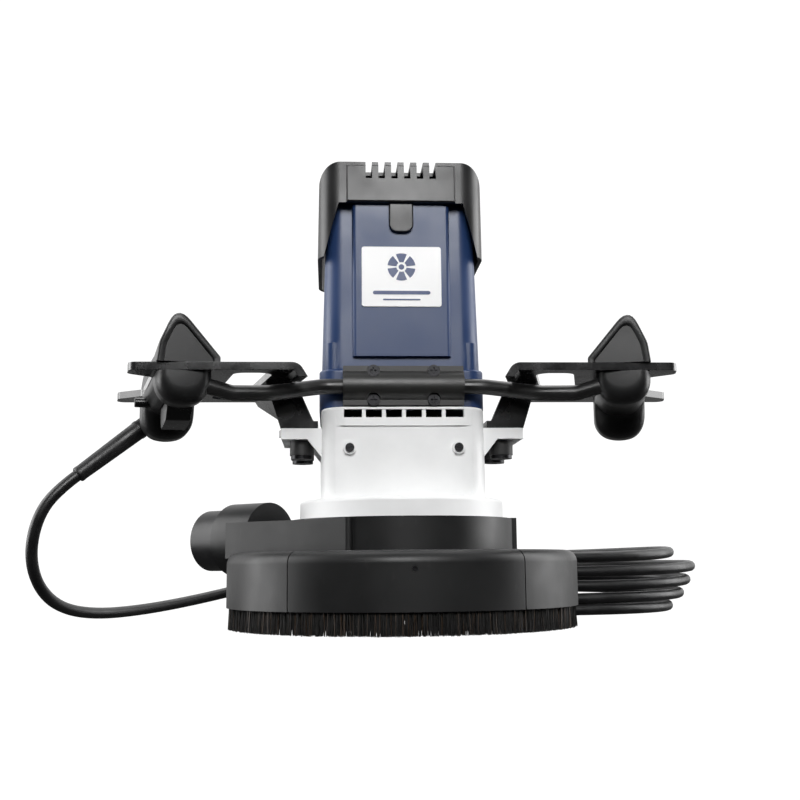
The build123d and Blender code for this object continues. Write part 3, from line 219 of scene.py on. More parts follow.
def softRubber(name, colour, rough, grain=700.0, sheen=0.15, grainDepth=0.00006):
    mat = makeMaterial(name, colour, rough, sheen=sheen)
    tree = mat.node_tree
    shader = tree.nodes["Principled BSDF"]
    slow = noiseNode(mat, 60.0, 5.0)
    tone = rampNode(mat, slow.outputs["Fac"], [(0.35, shade(colour, 0.75)), (0.75, shade(colour, 1.35))])
    tree.links.new(tone.outputs["Color"], shader.inputs["Base Color"])
    gloss = rangeNode(mat, slow.outputs["Fac"], rough - 0.07, rough + 0.09)
    tree.links.new(gloss.outputs["Result"], shader.inputs["Roughness"])
    addBump(mat, noiseNode(mat, grain, 3.0).outputs["Fac"], 0.25, grainDepth)
    return mat


finishes = {
    "hoodGrain": mouldedPlastic("hoodGrain", (0.0050, 0.0052, 0.0055), 0.44, grainDepth=0.00006,
                                specular=0.4),
    "portGrain": mouldedPlastic("portGrain", (0.012, 0.012, 0.013), 0.42, grainDepth=0.00006,
                                specular=0.45),
    "castWhite": castMetal("castWhite", (0.93, 0.935, 0.935), 0.38, 0.0),
    "motorBlue": mouldedPlastic("motorBlue", (0.018, 0.044, 0.130), 0.38, mottle=0.06, scuff=0.08),
    "capGrey": mouldedPlastic("capGrey", (0.008, 0.008, 0.0085), 0.36, mottle=0.08),
    "clampGrey": mouldedPlastic("clampGrey", (0.018, 0.018, 0.017), 0.40, grain=1800.0),
    "gripCharcoal": mouldedPlastic("gripCharcoal", (0.011, 0.0112, 0.0115), 0.38, grain=2000.0),
    "gripField": mouldedPlastic("gripField", (0.050, 0.050, 0.053), 0.60, grain=1100.0, grainDepth=0.00012),
    "triggerBlack": mouldedPlastic("triggerBlack", (0.007, 0.007, 0.0075), 0.28, scuff=0.1),
    "frameGloss": glossPaint("frameGloss", (0.006, 0.006, 0.0065), 0.22),
    "wheelPaint": glossPaint("wheelPaint", (0.30, 0.04, 0.02), 0.30),
    "steelTurned": turnedMetal("steelTurned", (0.56, 0.57, 0.58), 0.30),
    "gearSteel": turnedMetal("gearSteel", (0.42, 0.42, 0.44), 0.34, stretch=(1, 1, 8)),
    "screwBlack": turnedMetal("screwBlack", (0.035, 0.035, 0.037), 0.34, stretch=(1, 1, 1)),
    "coreSteel": turnedMetal("coreSteel", (0.22, 0.22, 0.24), 0.42),
    "copperWire": turnedMetal("copperWire", (0.72, 0.36, 0.18), 0.30, stretch=(1, 1, 60)),
    "holderBrass": turnedMetal("holderBrass", (0.72, 0.55, 0.24), 0.30),
    "diamondGrit": castMetal("diamondGrit", (0.22, 0.20, 0.18), 0.62, 0.5, grain=1600.0, depth=0.0005),
    "carbonBlock": castMetal("carbonBlock", (0.03, 0.03, 0.03), 0.55, 0.2),
    "sealRubber": softRubber("sealRubber", (0.008, 0.008, 0.008), 0.55),
    "cordRubber": softRubber("cordRubber", (0.009, 0.009, 0.0095), 0.42, grainDepth=0.000008, sheen=0.03),
    "tubeBlack": softRubber("tubeBlack", (0.012, 0.012, 0.012), 0.36),
    "modulePotting": mouldedPlastic("modulePotting", (0.02, 0.02, 0.024), 0.22),
    "labelSheet": mouldedPlastic("labelSheet", (0.95, 0.95, 0.95), 0.32, mottle=0.02, scuff=0.0),
    "labelInk": mouldedPlastic("labelInk", (0.018, 0.042, 0.150), 0.35, mottle=0.05, scuff=0.0),
    "bristleDark": softRubber("bristleDark", (0.002, 0.0018, 0.0015), 0.75, sheen=0.0),
    "bristleTan": softRubber("bristleTan", (0.030, 0.016, 0.007), 0.55, sheen=0.0),
}

nodeFinish = {
    "hoodGrain": ["hood_shell", "hood_segment"],
    "portGrain": ["hose_spigot"],
    "bristleDark": ["brush_ring", "segment_brush"],
    "screwBlack": ["hood_screws", "gear_cover_screws", "motor_screws", "bow_clamp_screws", "handle_bolts",
                   "grip_screws", "segment_latch"],
    "castWhite": ["gear_cover", "gear_housing"],
    "steelTurned": ["spindle", "spindle_key", "lower_bearing_outer", "lower_bearing_inner", "upper_bush",
                    "wheel_flange", "clamp_nut", "armature_bearing_lower", "armature_bearing_upper",
                    "trigger_pin"],
    "gearSteel": ["spindle_gear", "armature_shaft"],
    "sealRubber": ["spindle_seal", "handle_dampers"],
    "wheelPaint": ["cup_wheel"],
    "diamondGrit": ["diamond_segments"],
    "motorBlue": ["motor_base", "motor_housing"],
    "capGrey": ["top_cap", "cap_tongue"],
    "labelSheet": ["label_plate"],
    "coreSteel": ["stator_core", "armature_core"],
    "copperWire": ["field_coils", "armature_windings", "commutator"],
    "triggerBlack": ["cooling_fan", "lock_button", "trigger_switch", "trigger"],
    "carbonBlock": ["carbon_brushes"],
    "holderBrass": ["brush_holders"],
    "modulePotting": ["control_module"],
    "tubeBlack": ["bow_tube"],
    "clampGrey": ["bow_clamp_rear", "bow_clamp_front"],
    "frameGloss": ["left_handle_frame", "right_handle_frame"],
    "gripCharcoal": ["left_grip_upper", "left_grip_lower", "right_grip_upper", "right_grip_lower"],
    "cordRubber": ["cord_lead", "cord_coil", "plug", "strain_relief"],
}
finishOf = {node: finish for finish, names in nodeFinish.items() for node in names}


def paintNodes():
    for name, node in nodes.items():
        node.data.materials.clear()
        node.data.materials.append(finishes[finishOf[name]])
    print("finishes put on", len(nodes), "nodes")


paintNodes()


def newPiece(name, mesh, finish, body):
    piece = bpy.data.objects.new(name, mesh)
    bpy.context.collection.objects.link(piece)
    if finish:
        mesh.materials.clear()
        mesh.materials.append(finishes[finish])
    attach(piece, body)
    return piece


def meshFrom(bm, name, smooth=None):
    bmesh.ops.recalc_face_normals(bm, faces=bm.faces)
    mesh = bpy.data.meshes.new(name)
    bm.to_mesh(mesh)
    bm.free()
    if smooth is not None:
        for face in mesh.polygons:
            face.use_smooth = True
        mesh.set_sharp_from_angle(angle=math.radians(smooth))
    return mesh


def flatShape(bm, outline, y, thick):    # a thin solid in the XZ plane
    front = [bm.verts.new((x, y, z)) for x, z in outline]
    back = [bm.verts.new((x, y + thick, z)) for x, z in outline]
    bm.faces.new(front)
    bm.faces.new(back)
    for k in range(len(outline)):
        m = (k + 1) % len(outline)
        bm.faces.new((front[k], front[m], back[m], back[k]))


def softened(node, width, body, angle=32.0, rounds=2):    # a copy with its sharp edges broken
    bm = bmesh.new()
    bm.from_mesh(nodes[node].data)
    bmesh.ops.remove_doubles(bm, verts=bm.verts, dist=0.00001)
    bmesh.ops.dissolve_limit(bm, angle_limit=math.radians(0.8), verts=bm.verts, edges=bm.edges)
    edges = [e for e in bm.edges if len(e.link_faces) == 2 and e.calc_face_angle(0) > math.radians(angle)]
    bmesh.ops.bevel(bm, geom=edges, offset=width, segments=rounds, affect="EDGES", clamp_overlap=True,
                    profile=0.5)
    mesh = bpy.data.meshes.new(node + "Soft")
    bm.to_mesh(mesh)
    bm.free()
    for face in mesh.polygons:
        face.use_smooth = True
    mesh.set_sharp_from_angle(angle=math.radians(30))
    piece = newPiece(node + "Soft", mesh, finishOf[node], body)
    weigh = piece.modifiers.new("weigh", "WEIGHTED_NORMAL")
    weigh.keep_sharp = True
    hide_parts(node)
    return piece


cordSet = {
    "diameter": 0.010,
    "lead": [(-270, 59, 126), (-288, 51.9, 110.4), (-301, 51, 87), (-307, 60, 58), (-304, 80, 32),
             (-292, 109, 14), (-269, 145, 7), (-233, 183, 9), (-186, 215, 17), (-130, 240, 30),
             (-68, 259, 42), (-2, 276, 52), (62, 294, 57), (118, 306, 57.5)],
    "turns": [               # centre x and y, half length, half width
        (143, 219, 132, 91),
        (160, 220, 145, 92),
        (157, 218, 142, 88),
        (155, 220, 140, 89),
        (146, 219, 133, 91),
        (146, 219, 133, 91),
    ],
    "heights": [57, 60, 54, 52, 47, 46, 41, 42, 36, 33, 28, 30, 24, 20, 16.5, 6.5, 6.5, 7.5, 6.2, 6.2],
    "perTurn": 18,
    "steps": 83,
    "start": 100,            # direction from the coil's centre where the lead joins it, in degrees
    "squareness": (0.85, 0.92),    # 1 is an ellipse, less is squarer
    "tail": [(88, 128.5, 6.5), (61, 127.6, 6.5), (35, 130, 6.8), (15.5, 142.4, 8.5), (5, 162.3, 11),
             (5, 184.7, 14), (15.5, 204.6, 17.8), (34.1, 217.2, 19), (56, 219, 19), (70, 219, 19)],
}


def eased(part):
    return part * part * (3 - 2 * part)


def squared(value, power):
    return math.copysign(abs(value) ** power, value)


def coilPoints(s):    # loose turns, clockwise from above, each with its own middle and size
    points = []
    for step in range(1, s["steps"]):
        along = step / s["perTurn"]
        low = int(along)
        now, then = s["turns"][low], s["turns"][low + 1]
        cx, cy, longHalf, wideHalf = (a + (b - a) * eased(along - low) for a, b in zip(now, then))
        angle = math.radians(s["start"]) - 2 * math.pi * along
        x = cx + longHalf * squared(math.cos(angle), s["squareness"][0])
        y = cy + wideHalf * squared(math.sin(angle), s["squareness"][1])
        quarter = along * 4
        low = int(quarter)
        height = s["heights"][low] + (s["heights"][low + 1] - s["heights"][low]) * eased(quarter - low)
        points.append((x, y, height))
    return points


def makeCord(s):
    line = [mm(*p) for p in s["lead"]] + [mm(*p) for p in coilPoints(s)]
    line += [mm(*p) for p in s["tail"]]
    curve = bpy.data.curves.new("mainsCord", "CURVE")
    curve.dimensions = "3D"
    spline = curve.splines.new("NURBS")
    spline.points.add(len(line) - 1)
    for point, place in zip(spline.points, line):
        point.co = (*place, 1)
    spline.order_u = 3
    spline.use_endpoint_u = True
    spline.resolution_u = 6
    curve.bevel_depth = s["diameter"] / 2
    curve.bevel_resolution = 4
    curve.use_fill_caps = True
    cord = bpy.data.objects.new("mainsCord", curve)
    bpy.context.collection.objects.link(cord)
    curve.materials.append(finishes["cordRubber"])
    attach(cord, "machine")
    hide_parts("cord_lead", "cord_coil")
    bare = curve.copy()
    bare.bevel_depth = 0
    probe = bpy.data.objects.new("probe", bare)
    bpy.context.collection.objects.link(probe)
    run = bpy.data.meshes.new_from_object(probe)
    length = sum((run.vertices[e.vertices[0]].co - run.vertices[e.vertices[1]].co).length for e in run.edges)
    bpy.data.objects.remove(probe)
    bpy.data.meshes.remove(run)
    print("cord length", round(length, 3))
    return cord, length


cord, cordLength = makeCord(cordSet)
softenedNodes = {             # how far each node's edges are broken, in metres, and its body
    "hood_shell": (0.0008, "machine"),
    "gear_cover": (0.0009, "machine"),
    "gear_housing": (0.0009, "machine"),
    "motor_base": (0.0008, "machine"),
    "motor_housing": (0.0014, "machine"),
    "top_cap": (0.0010, "machine"),
    "cap_tongue": (0.0012, "machine"),
    "bow_clamp_front": (0.0008, "machine"),
    "left_handle_frame": (0.0009, "machine"),
    "right_handle_frame": (0.0009, "machine"),
    "hood_segment": (0.0008, "hood_segment"),
    "trigger": (0.0007, "trigger"),
}

for node, (width, body) in softenedNodes.items():
    softened(node, width, body)
print("edges broken on", len(softenedNodes), "nodes")


gripSet = {
    "centre": 184.0,             # where the grip's own axes stand, in millimetres outboard
    "splay": math.radians(13.3),
    "seat": 198.2,
    "underside": 191.8,
    "saddle": 0.25,
    "upperOutline": [(-27.5, 198.2, 0.5), (-27.5, 203, 3), (4.8, 241.5, 18), (17.5, 213, 20),
                     (19.5, 198.2, 0.5)],
    "upperEnds": [(-82.4, 6.2), (-82.4, 5.6), (-83.6, 4.8), (-84, 4), (-84, 1.6), (-83.4, 0.5), (-82.2, 0)],
    "upperRear": [(82, 0), (83.4, 0.8), (84, 2.5)],
    "lowerCorners": 30.0,
    "lobes": [(-84, 168), (-56, 168), (-46, 174), (38, 174), (50, 158), (54, 156), (84, 156)],
    "lowerEnds": [(-84, 8), (-83.6, 6), (-82.4, 4), (-80.4, 2.2), (-77, 0.8), (-73, 0)],
    "cornerSteps": 7,
    "halfLength": 84.0,
    "upperStations": range(-76, 82, 6),
    "lowerStations": range(-70, 72, 3),
    "endRise": 0.6,              # how far the underside rises per millimetre of inset at the ends
    "rearSpread": 0.08,          # how much wider the rear end is
    "triggerSlot": ((-12.5, -47.5, 150), (8.5, 13.5, 182)),
}


def insetOutline(corners, inset, steps):    # a convex outline moved in, all but its lowest edge
    count = len(corners)
    flat = [Vector((x, z)) for x, z, r in corners]
    middle = sum(flat, Vector((0, 0))) / count
    lines = []
    for k in range(count):
        start, end = flat[k], flat[(k + 1) % count]
        normal = Vector((start.y - end.y, end.x - start.x)).normalized()
        if normal.dot(middle - start) < 0:
            normal = -normal
        shift = 0 if k == count - 1 else inset
        lines.append((start + normal * shift, (end - start).normalized()))
    moved = []
    for k in range(count):
        a, da = lines[k - 1]
        b, db = lines[k]
        across = da.x * db.y - da.y * db.x
        reach = ((b - a).x * db.y - (b - a).y * db.x) / across
        moved.append(a + da * reach)
    points = []
    for k in range(count):
        here, before, after = moved[k], moved[k - 1], moved[(k + 1) % count]
        toBack, toNext = (before - here), (after - here)
        half = toBack.angle(toNext) / 2
        cut = min(max(corners[k][2] - inset, 0.4) / math.tan(half), 0.5 * toBack.length, 0.5 * toNext.length)
        p, q = here + toBack.normalized() * cut, here + toNext.normalized() * cut
        for step in range(steps + 1):
            t = step / steps
            points.append(p * (1 - t) ** 2 + here * 2 * t * (1 - t) + q * t ** 2)
    return points


def gripPoint(s, side, x, y, z):
    sine, cosine = math.sin(s["splay"]), math.cos(s["splay"])
    return mm(side * (s["centre"] + x * cosine + y * sine), y * cosine - x * sine, z)


def loft(bm, rings):
    made = [[bm.verts.new(p) for p in ring] for ring in rings]
    for one, two in zip(made, made[1:]):
        for k in range(len(one)):
            m = (k + 1) % len(one)
            bm.faces.new((one[k], one[m], two[m], two[k]))
    return [bm.faces.new(made[0]), bm.faces.new(made[-1])]


def upperGrip(s, side, name):
    stations = s["upperEnds"] + [(y, 0) for y in s["upperStations"]] + s["upperRear"]
    rings = []
    for y, inset in stations:
        dip = 1 - s["saddle"] * (0.5 + 0.5 * math.cos(math.pi * y / s["halfLength"]))
        ring = insetOutline(s["upperOutline"], inset, s["cornerSteps"])
        rings.append([gripPoint(s, side, x, y, s["seat"] + (z - s["seat"]) * dip) for x, z in ring])
    bm = bmesh.new()
    front, rear = loft(bm, rings)
    front.material_index = 1
    mesh = meshFrom(bm, name, 28)
    piece = newPiece(name, mesh, "gripCharcoal", "machine")
    mesh.materials.append(finishes["gripField"])
    return piece


def lobeHeight(s, y):
    for (a, za), (b, zb) in zip(s["lobes"], s["lobes"][1:]):
        if y <= b:
            t = (y - a) / (b - a)
            return za + (zb - za) * eased(t)
    return s["lobes"][-1][1]


def lowerGrip(s, side, name):
    ends = s["lowerEnds"]
    stations = ends + [(y, 0) for y in s["lowerStations"]] + [(-y, inset) for y, inset in reversed(ends)]
    rings = []
    for y, inset in stations:
        low = lobeHeight(s, y) + inset * s["endRise"]
        r = s["lowerCorners"]
        wide = 1.0 + s["rearSpread"] * max(y, 0) / s["halfLength"]
        outline = [(-22, s["underside"], 0.5), (-22, low + 12, r), (-15, low + 2, r), (-3, low - 1, r),
                   (11, low + 1, r), (19, low + 12, r), (19, s["underside"], 0.5)]
        ring = insetOutline(outline, inset, s["cornerSteps"])
        rings.append([gripPoint(s, side, x * wide, y, z) for x, z in ring])
    bm = bmesh.new()
    loft(bm, rings)
    return newPiece(name, meshFrom(bm, name, 32), "gripCharcoal", "machine")


def cutBox(piece, place, low, high):    # cuts a box, given in a grip's own axes, out of a piece
    bm = bmesh.new()
    corners = [bm.verts.new(place(x, y, z)) for x in (low[0], high[0]) for y in (low[1], high[1])
               for z in (low[2], high[2])]
    for face in ((0, 1, 3, 2), (4, 6, 7, 5), (0, 4, 5, 1), (2, 3, 7, 6), (0, 2, 6, 4), (1, 5, 7, 3)):
        bm.faces.new([corners[k] for k in face])
    cutter = bpy.data.objects.new("cutter", meshFrom(bm, "cutter"))
    bpy.context.collection.objects.link(cutter)
    cut = piece.modifiers.new("cut", "BOOLEAN")
    cut.object = cutter
    cut.solver = "EXACT"
    bpy.context.view_layer.update()
    ready = piece.evaluated_get(bpy.context.evaluated_depsgraph_get())
    mesh = bpy.data.meshes.new_from_object(ready)
    piece.modifiers.clear()
    piece.data = mesh
    bpy.data.objects.remove(cutter)


def makeGrips(s):
    for word, side in (("left", -1), ("right", 1)):
        upper = upperGrip(s, side, word + "GripUpper")
        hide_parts(word + "_grip_upper")
        lower = lowerGrip(s, side, word + "GripLower")
        if side < 0:
            cutBox(lower, lambda x, y, z: gripPoint(s, -1, x, y, z), *s["triggerSlot"])
        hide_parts(word + "_grip_lower")
    print("grips made")


makeGrips(gripSet)


bristleSet = {
    "inner": 0.1292,
    "outer": 0.1362,
    "top": 0.0176,
    "length": 0.0172,
    "thick": 0.00036,
    "gapAngle": (-129.0, -55.0),   # the stretch that belongs to the front segment, in degrees
    "perDegree": 24,
    "lean": 0.07,
    "tanShare": 0.16,
    "inset": 0.3,                  # degrees left free at each end of a strip
    "seeds": (11, 57),
    "tanSeedShift": 20,
    "holder": [("inner", 0.0012, 0.0295), ("inner", 0.0042, 0.0295), ("inner", 0.0044, 0.0182),
               ("outer", -0.0006, 0.0176), ("outer", -0.0008, 0.0163), ("outer", -0.0016, 0.0160),
               ("inner", 0.0022, 0.0160), ("inner", 0.0008, 0.0163), ("inner", 0.0006, 0.0176),
               ("inner", 0.0010, 0.0190)],
    "holderStep": math.radians(3),
}


def bristleTree(name, finish, seed):    # hairs scattered over an arc, each with a small random lean
    tree = bpy.data.node_groups.new(name, "GeometryNodeTree")
    face = tree.interface
    face.new_socket("Geometry", in_out="OUTPUT", socket_type="NodeSocketGeometry")
    for label, kind in (("Count", "NodeSocketInt"), ("From Angle", "NodeSocketFloat"),
                        ("To Angle", "NodeSocketFloat"), ("Inner Radius", "NodeSocketFloat"),
                        ("Outer Radius", "NodeSocketFloat"), ("Top", "NodeSocketFloat"),
                        ("Hair Length", "NodeSocketFloat"), ("Hair Radius", "NodeSocketFloat"),
                        ("Lean", "NodeSocketFloat")):
        face.new_socket(label, in_out="INPUT", socket_type=kind)
    new = tree.nodes.new
    link = tree.links.new
    given = new("NodeGroupInput").outputs
    points = new("GeometryNodePoints")
    link(given["Count"], points.inputs["Count"])

    def scatter(low, high, offset):
        pick = new("FunctionNodeRandomValue")
        pick.data_type = "FLOAT"
        pick.inputs["Seed"].default_value = seed + offset
        for end, value in (("Min", low), ("Max", high)):
            socket = [i for i in pick.inputs if i.name == end and i.type == "VALUE"][0]
            if hasattr(value, "name"):
                link(value, socket)
            else:
                socket.default_value = value
        return [o for o in pick.outputs if o.type == "VALUE"][0]

    def maths(operation, a, b=None):
        node = new("ShaderNodeMath")
        node.operation = operation
        for socket, value in zip(node.inputs, (a, b)):
            if value is None:
                continue
            if hasattr(value, "name"):
                link(value, socket)
            else:
                socket.default_value = value
        return node.outputs[0]

    angle = scatter(given["From Angle"], given["To Angle"], 0)
    radius = scatter(given["Inner Radius"], given["Outer Radius"], 1)
    place = new("ShaderNodeCombineXYZ")
    link(maths("MULTIPLY", radius, maths("COSINE", angle)), place.inputs[0])
    link(maths("MULTIPLY", radius, maths("SINE", angle)), place.inputs[1])
    link(given["Top"], place.inputs[2])
    move = new("GeometryNodeSetPosition")
    link(points.outputs[0], move.inputs["Geometry"])
    link(place.outputs[0], move.inputs["Position"])
    hair = new("GeometryNodeMeshCone")
    hair.fill_type = "NONE"
    hair.inputs["Vertices"].default_value = 4
    link(maths("MULTIPLY", given["Hair Radius"], 0.6), hair.inputs["Radius Top"])
    link(given["Hair Radius"], hair.inputs["Radius Bottom"])
    link(given["Hair Length"], hair.inputs["Depth"])
    turned = new("GeometryNodeTransform")
    link(hair.outputs["Mesh"], turned.inputs["Geometry"])
    turned.inputs["Rotation"].default_value = (math.pi, 0, 0)
    spots = new("GeometryNodeInstanceOnPoints")
    link(move.outputs[0], spots.inputs["Points"])
    link(turned.outputs[0], spots.inputs["Instance"])
    tilt = new("ShaderNodeCombineXYZ")
    against = maths("MULTIPLY", given["Lean"], -1.0)
    link(scatter(against, given["Lean"], 2), tilt.inputs[0])
    link(scatter(against, given["Lean"], 3), tilt.inputs[1])
    link(scatter(0.0, 3.0, 4), tilt.inputs[2])
    link(tilt.outputs[0], spots.inputs["Rotation"])
    grow = new("ShaderNodeCombineXYZ")
    grow.inputs[0].default_value = 1
    grow.inputs[1].default_value = 1
    link(scatter(0.93, 1.0, 5), grow.inputs[2])
    link(grow.outputs[0], spots.inputs["Scale"])
    real = new("GeometryNodeRealizeInstances")
    link(spots.outputs[0], real.inputs[0])
    paint = new("GeometryNodeSetMaterial")
    paint.inputs["Material"].default_value = finishes[finish]
    link(real.outputs[0], paint.inputs["Geometry"])
    link(paint.outputs[0], new("NodeGroupOutput").inputs[0])
    return tree


def runTree(name, tree, values, finish, body):    # keeps a node tree's result as a plain mesh piece
    holder = bpy.data.objects.new(name + "Holder", bpy.data.meshes.new(name + "Holder"))
    bpy.context.collection.objects.link(holder)
    made = holder.modifiers.new("made", "NODES")
    made.node_group = tree
    sockets = {i.name: i.identifier for i in tree.interface.items_tree if i.in_out == "INPUT"}
    for label, value in values.items():
        made[sockets[label]] = value
    bpy.context.view_layer.update()
    ready = holder.evaluated_get(bpy.context.evaluated_depsgraph_get())
    mesh = bpy.data.meshes.new_from_object(ready)
    mesh.name = name
    holder.modifiers.clear()
    bpy.data.objects.remove(holder)
    return newPiece(name, mesh, finish, body)


def makeBristles(s):
    start, end = s["gapAngle"]
    strips = [("ring", end, start + 360, "machine", "brush_ring", s["seeds"][0]),
              ("front", start, end, "hood_segment", "segment_brush", s["seeds"][1])]
    hairKinds = [("bristleDark", 1 - s["tanShare"], 0), ("bristleTan", s["tanShare"], s["tanSeedShift"])]
    for name, low, high, body, node, seed in strips:
        total = int((high - low) * s["perDegree"])
        for finish, share, shift in hairKinds:
            tree = bristleTree(name + finish, finish, seed + shift)
            values = {"Count": int(total * share), "From Angle": math.radians(low + s["inset"]),
                      "To Angle": math.radians(high - s["inset"]), "Inner Radius": s["inner"],
                      "Outer Radius": s["outer"] - s["thick"], "Top": s["top"],
                      "Hair Length": s["length"], "Hair Radius": s["thick"], "Lean": s["lean"]}
            hairs = runTree(name + finish + "Hairs", tree, values, finish, body)
            if finish == "bristleDark":
                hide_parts(node)
        holder = brushHolder(name + "BrushHolder", s, math.radians(low), math.radians(high))
        newPiece(name + "BrushHolder", holder, "bristleDark", body)
    print("bristles set")


def brushHolder(name, s, low, high):    # the channel that grips the roots of the hairs
    section = [(s[side] + offset, z) for side, offset, z in s["holder"]]
    bm = bmesh.new()
    steps = max(8, int(abs(high - low) / s["holderStep"]))
    rings = []
    for step in range(steps + 1):
        angle = low + (high - low) * step / steps
        rings.append([bm.verts.new((r * math.cos(angle), r * math.sin(angle), z)) for r, z in section])
    for one, two in zip(rings, rings[1:]):
        for k in range(len(section)):
            m = (k + 1) % len(section)
            bm.faces.new((one[k], one[m], two[m], two[k]))
    bm.faces.new(rings[0])
    bm.faces.new(rings[-1])
    return meshFrom(bm, name, 40)


makeBristles(bristleSet)


caseScrewSet = {
    "places": [(-0.042, 0.138), (0.042, 0.138)],
    "radius": 0.0034,
    "head": 0.0016,
    "slot": 0.0005,              # half width of the slot
    "slotDepth": 0.0009,
    "root": 0.0005,              # how far the head reaches into the case
    "turns": [0.35, -0.2],
    "weld": 0.000001,
}


def discOutline(radius, low, high, turn, shift, steps=28):    # the part of a disc between two heights
    points = []
    for k in range(steps):
        a = 2 * math.pi * k / steps
        points.append((radius * math.cos(a), min(max(radius * math.sin(a), low), high)))
    cosine, sine = math.cos(turn), math.sin(turn)
    return [(shift[0] + x * cosine - z * sine, shift[1] + x * sine + z * cosine) for x, z in points]


def surfaceY(node, x, z):    # where a ray from the front meets a node
    mesh = nodes[node].data
    tree = BVHTree.FromPolygons([v.co for v in mesh.vertices], [list(f.vertices) for f in mesh.polygons])
    hit = tree.ray_cast(Vector((x, -0.5, z)), Vector((0, 1, 0)))
    return hit[0].y if hit[0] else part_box(node)[0][1]


def makeCaseScrews(s):
    bm = bmesh.new()
    for (x, z), turn in zip(s["places"], s["turns"]):
        y = surfaceY("gear_housing", x, z)
        full = discOutline(s["radius"], -1, 1, turn, (x, z))
        flatShape(bm, full, y - s["head"] + s["slotDepth"], s["head"] - s["slotDepth"] + s["root"])
        for low, high in ((s["slot"], 1), (-1, -s["slot"])):
            half = discOutline(s["radius"], low, high, turn, (x, z))
            flatShape(bm, half, y - s["head"], s["slotDepth"])
    bmesh.ops.remove_doubles(bm, verts=bm.verts, dist=s["weld"])
    newPiece("caseScrews", meshFrom(bm, "caseScrews"), "screwBlack", "machine")
    print("case screws set")


makeCaseScrews(caseScrewSet)


reliefSet = {
    "start": (-221.0, 78.4, 168.4),
    "end": (-270.0, 59.0, 126.0),
    "profile": [(-0.16, 8.0), (0.0, 8.0), (0.02, 8.5), (0.05, 8.5), (0.07, 8.0), (0.3, 7.7), (0.7, 7.1),
                (0.93, 6.7), (0.96, 6.9), (0.985, 6.8), (0.997, 6.2), (1.0, 5.2), (1.002, 4.6)],
    "around": 36,
}


def makeRelief(s):    # a tapered boot with a bead at its root and a rolled lip where the cord leaves it
    start, end = mm(*s["start"]), mm(*s["end"])
    axis = (end - start).normalized()
    side = axis.orthogonal().normalized()
    other = axis.cross(side)
    angles = [2 * math.pi * k / s["around"] for k in range(s["around"])]
    bm = bmesh.new()
    rings = []
    for share, radius in s["profile"]:
        middle = start.lerp(end, share)
        rings.append([middle + (side * math.cos(a) + other * math.sin(a)) * radius / 1000 for a in angles])
    loft(bm, rings)
    mesh = meshFrom(bm, "reliefBoot", 50)
    piece = newPiece("reliefBoot", mesh, "cordRubber", "machine")
    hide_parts("strain_relief")
    return piece


reliefBoot = makeRelief(reliefSet)


labelSet = {
    "proud": 0.00012,            # how far the print stands off the sheet
    "thick": 0.00010,
    "discHeight": 0.66,          # middle of the disc, as a share of the sheet's height
    "discOuter": 0.0112,
    "discInner": 0.0040,
    "segments": 6,
    "segmentGap": math.radians(14),
    "hub": 0.0022,
    "bars": [(0.23, 0.046, 0.0030), (0.115, 0.030, 0.0012)],     # share of the height, length, height
    "barSteps": 6,
}


def makeLabel(s):
    low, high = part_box("label_plate")
    middleX, tall = (low[0] + high[0]) / 2, high[2] - low[2]
    y = low[1] - s["proud"] - s["thick"]
    discZ = low[2] + tall * s["discHeight"]
    bm = bmesh.new()
    step = 2 * math.pi / s["segments"]
    for k in range(s["segments"]):
        start, end = k * step + s["segmentGap"] / 2, (k + 1) * step - s["segmentGap"] / 2
        angles = [start + (end - start) * t / 10 for t in range(11)]
        outline = [(s["discOuter"] * math.cos(a), s["discOuter"] * math.sin(a)) for a in angles]
        outline += [(s["discInner"] * math.cos(a), s["discInner"] * math.sin(a)) for a in reversed(angles)]
        flatShape(bm, [(middleX + x, discZ + z) for x, z in outline], y, s["thick"])
    hub = [(s["hub"] * math.cos(a * math.pi / 12), s["hub"] * math.sin(a * math.pi / 12)) for a in range(24)]
    flatShape(bm, [(middleX + x, discZ + z) for x, z in hub], y, s["thick"])
    for share, length, height in s["bars"]:
        z, r = low[2] + tall * share, height / 2
        ends = [math.radians(-90 + 180 * t / s["barSteps"]) for t in range(s["barSteps"] + 1)]
        outline = [(length / 2 - r + r * math.cos(a), r * math.sin(a)) for a in ends]
        outline += [(-length / 2 + r - r * math.cos(a), -r * math.sin(a)) for a in ends]
        flatShape(bm, [(middleX + x, z + dz) for x, dz in outline], y, s["thick"])
    newPiece("labelPrint", meshFrom(bm, "labelPrint"), "labelInk", "machine")
    print("label printed")


makeLabel(labelSet)


lightSet = {
    "sides": 24.0,
    "top": 14.0,
    "front": 33.0,
    "worldFront": 0.10,          # the room is dark in front of the object and white behind it
    "worldBehind": 1.0,
    "worldBelow": 0.08,
    "backdrop": 1.1,
    "fade": (-0.35, 0.4),        # from the front's tone to the white behind, along the view's y
    "belowFade": (-0.12, 0.05),
    "floorHalf": 14,
    "floorDrop": 0.0004,
    "lamps": [                   # name, place, what it faces, size, and the setting that gives its power
        ("leftLamp", (-1.5, 0.15, 0.55), (0, 0.02, 0.2), (1.0, 1.6), "sides"),
        ("rightLamp", (1.5, 0.15, 0.55), (0, 0.02, 0.2), (1.0, 1.6), "sides"),
        ("topLamp", (0, 0.5, 1.6), (0, 0, 0.1), (1.6, 1.2), "top"),
        ("frontLamp", (0, -1.8, 1.15), (0, 0, 0.15), (0.9, 0.8), "front"),
    ],
}


def rampedValue(tree, source, span, low, high):
    node = tree.nodes.new("ShaderNodeMapRange")
    for socket, value in zip(("From Min", "From Max", "To Min", "To Max"), (*span, low, high)):
        node.inputs[socket].default_value = value
    tree.links.new(source, node.inputs["Value"])
    return node.outputs["Result"]


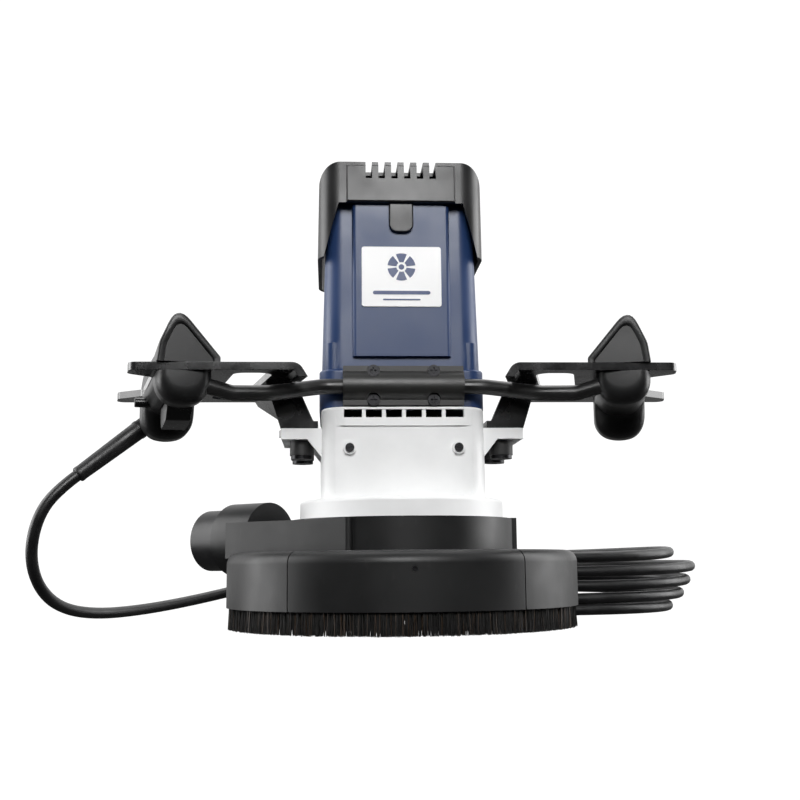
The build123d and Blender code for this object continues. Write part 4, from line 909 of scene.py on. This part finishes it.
def makeStudio(s):
    world = bpy.data.worlds.new("studioWorld")
    world.use_nodes = True
    tree = world.node_tree
    new, link = tree.nodes.new, tree.links.new
    room = tree.nodes["Background"]
    room.inputs["Color"].default_value = (1, 1, 1, 1)
    split = new("ShaderNodeSeparateXYZ")
    link(new("ShaderNodeTexCoord").outputs["Generated"], split.inputs[0])
    both = new("ShaderNodeMath")
    both.operation = "MULTIPLY"
    link(rampedValue(tree, split.outputs["Y"], s["fade"], s["worldFront"], s["worldBehind"]), both.inputs[0])
    link(rampedValue(tree, split.outputs["Z"], s["belowFade"], s["worldBelow"], 1.0), both.inputs[1])
    link(both.outputs[0], room.inputs["Strength"])
    seen = new("ShaderNodeBackground")
    seen.inputs["Color"].default_value = (1, 1, 1, 1)
    seen.inputs["Strength"].default_value = s["backdrop"]
    pick = new("ShaderNodeMixShader")
    link(new("ShaderNodeLightPath").outputs["Is Camera Ray"], pick.inputs[0])
    link(room.outputs[0], pick.inputs[1])
    link(seen.outputs[0], pick.inputs[2])
    link(pick.outputs[0], tree.nodes["World Output"].inputs["Surface"])
    bpy.context.scene.world = world
    bpy.context.scene.view_settings.view_transform = "Standard"
    bm = bmesh.new()
    bmesh.ops.create_grid(bm, x_segments=2, y_segments=2, size=s["floorHalf"])
    floor = bpy.data.objects.new("studioFloor", meshFrom(bm, "studioFloor"))
    bpy.context.collection.objects.link(floor)
    floor.location.z = -s["floorDrop"]
    paint = makeMaterial("studioWhite", (0.0, 0.0, 0.0), 1.0, specular=0.0)
    shader = paint.node_tree.nodes["Principled BSDF"]
    shader.inputs["Emission Color"].default_value = (1, 1, 1, 1)
    shader.inputs["Emission Strength"].default_value = s["backdrop"]
    floor.data.materials.append(paint)
    floor.visible_diffuse = False
    floor.visible_glossy = False
    for name, place, target, size, power in s["lamps"]:
        data = bpy.data.lights.new(name, "AREA")
        data.shape = "RECTANGLE"
        data.size, data.size_y = size
        data.energy = s[power]
        lamp = bpy.data.objects.new(name, data)
        bpy.context.collection.objects.link(lamp)
        lamp.location = place
        lamp.rotation_euler = (Vector(target) - Vector(place)).to_track_quat("-Z", "Y").to_euler()
    print("studio lit")


makeStudio(lightSet)
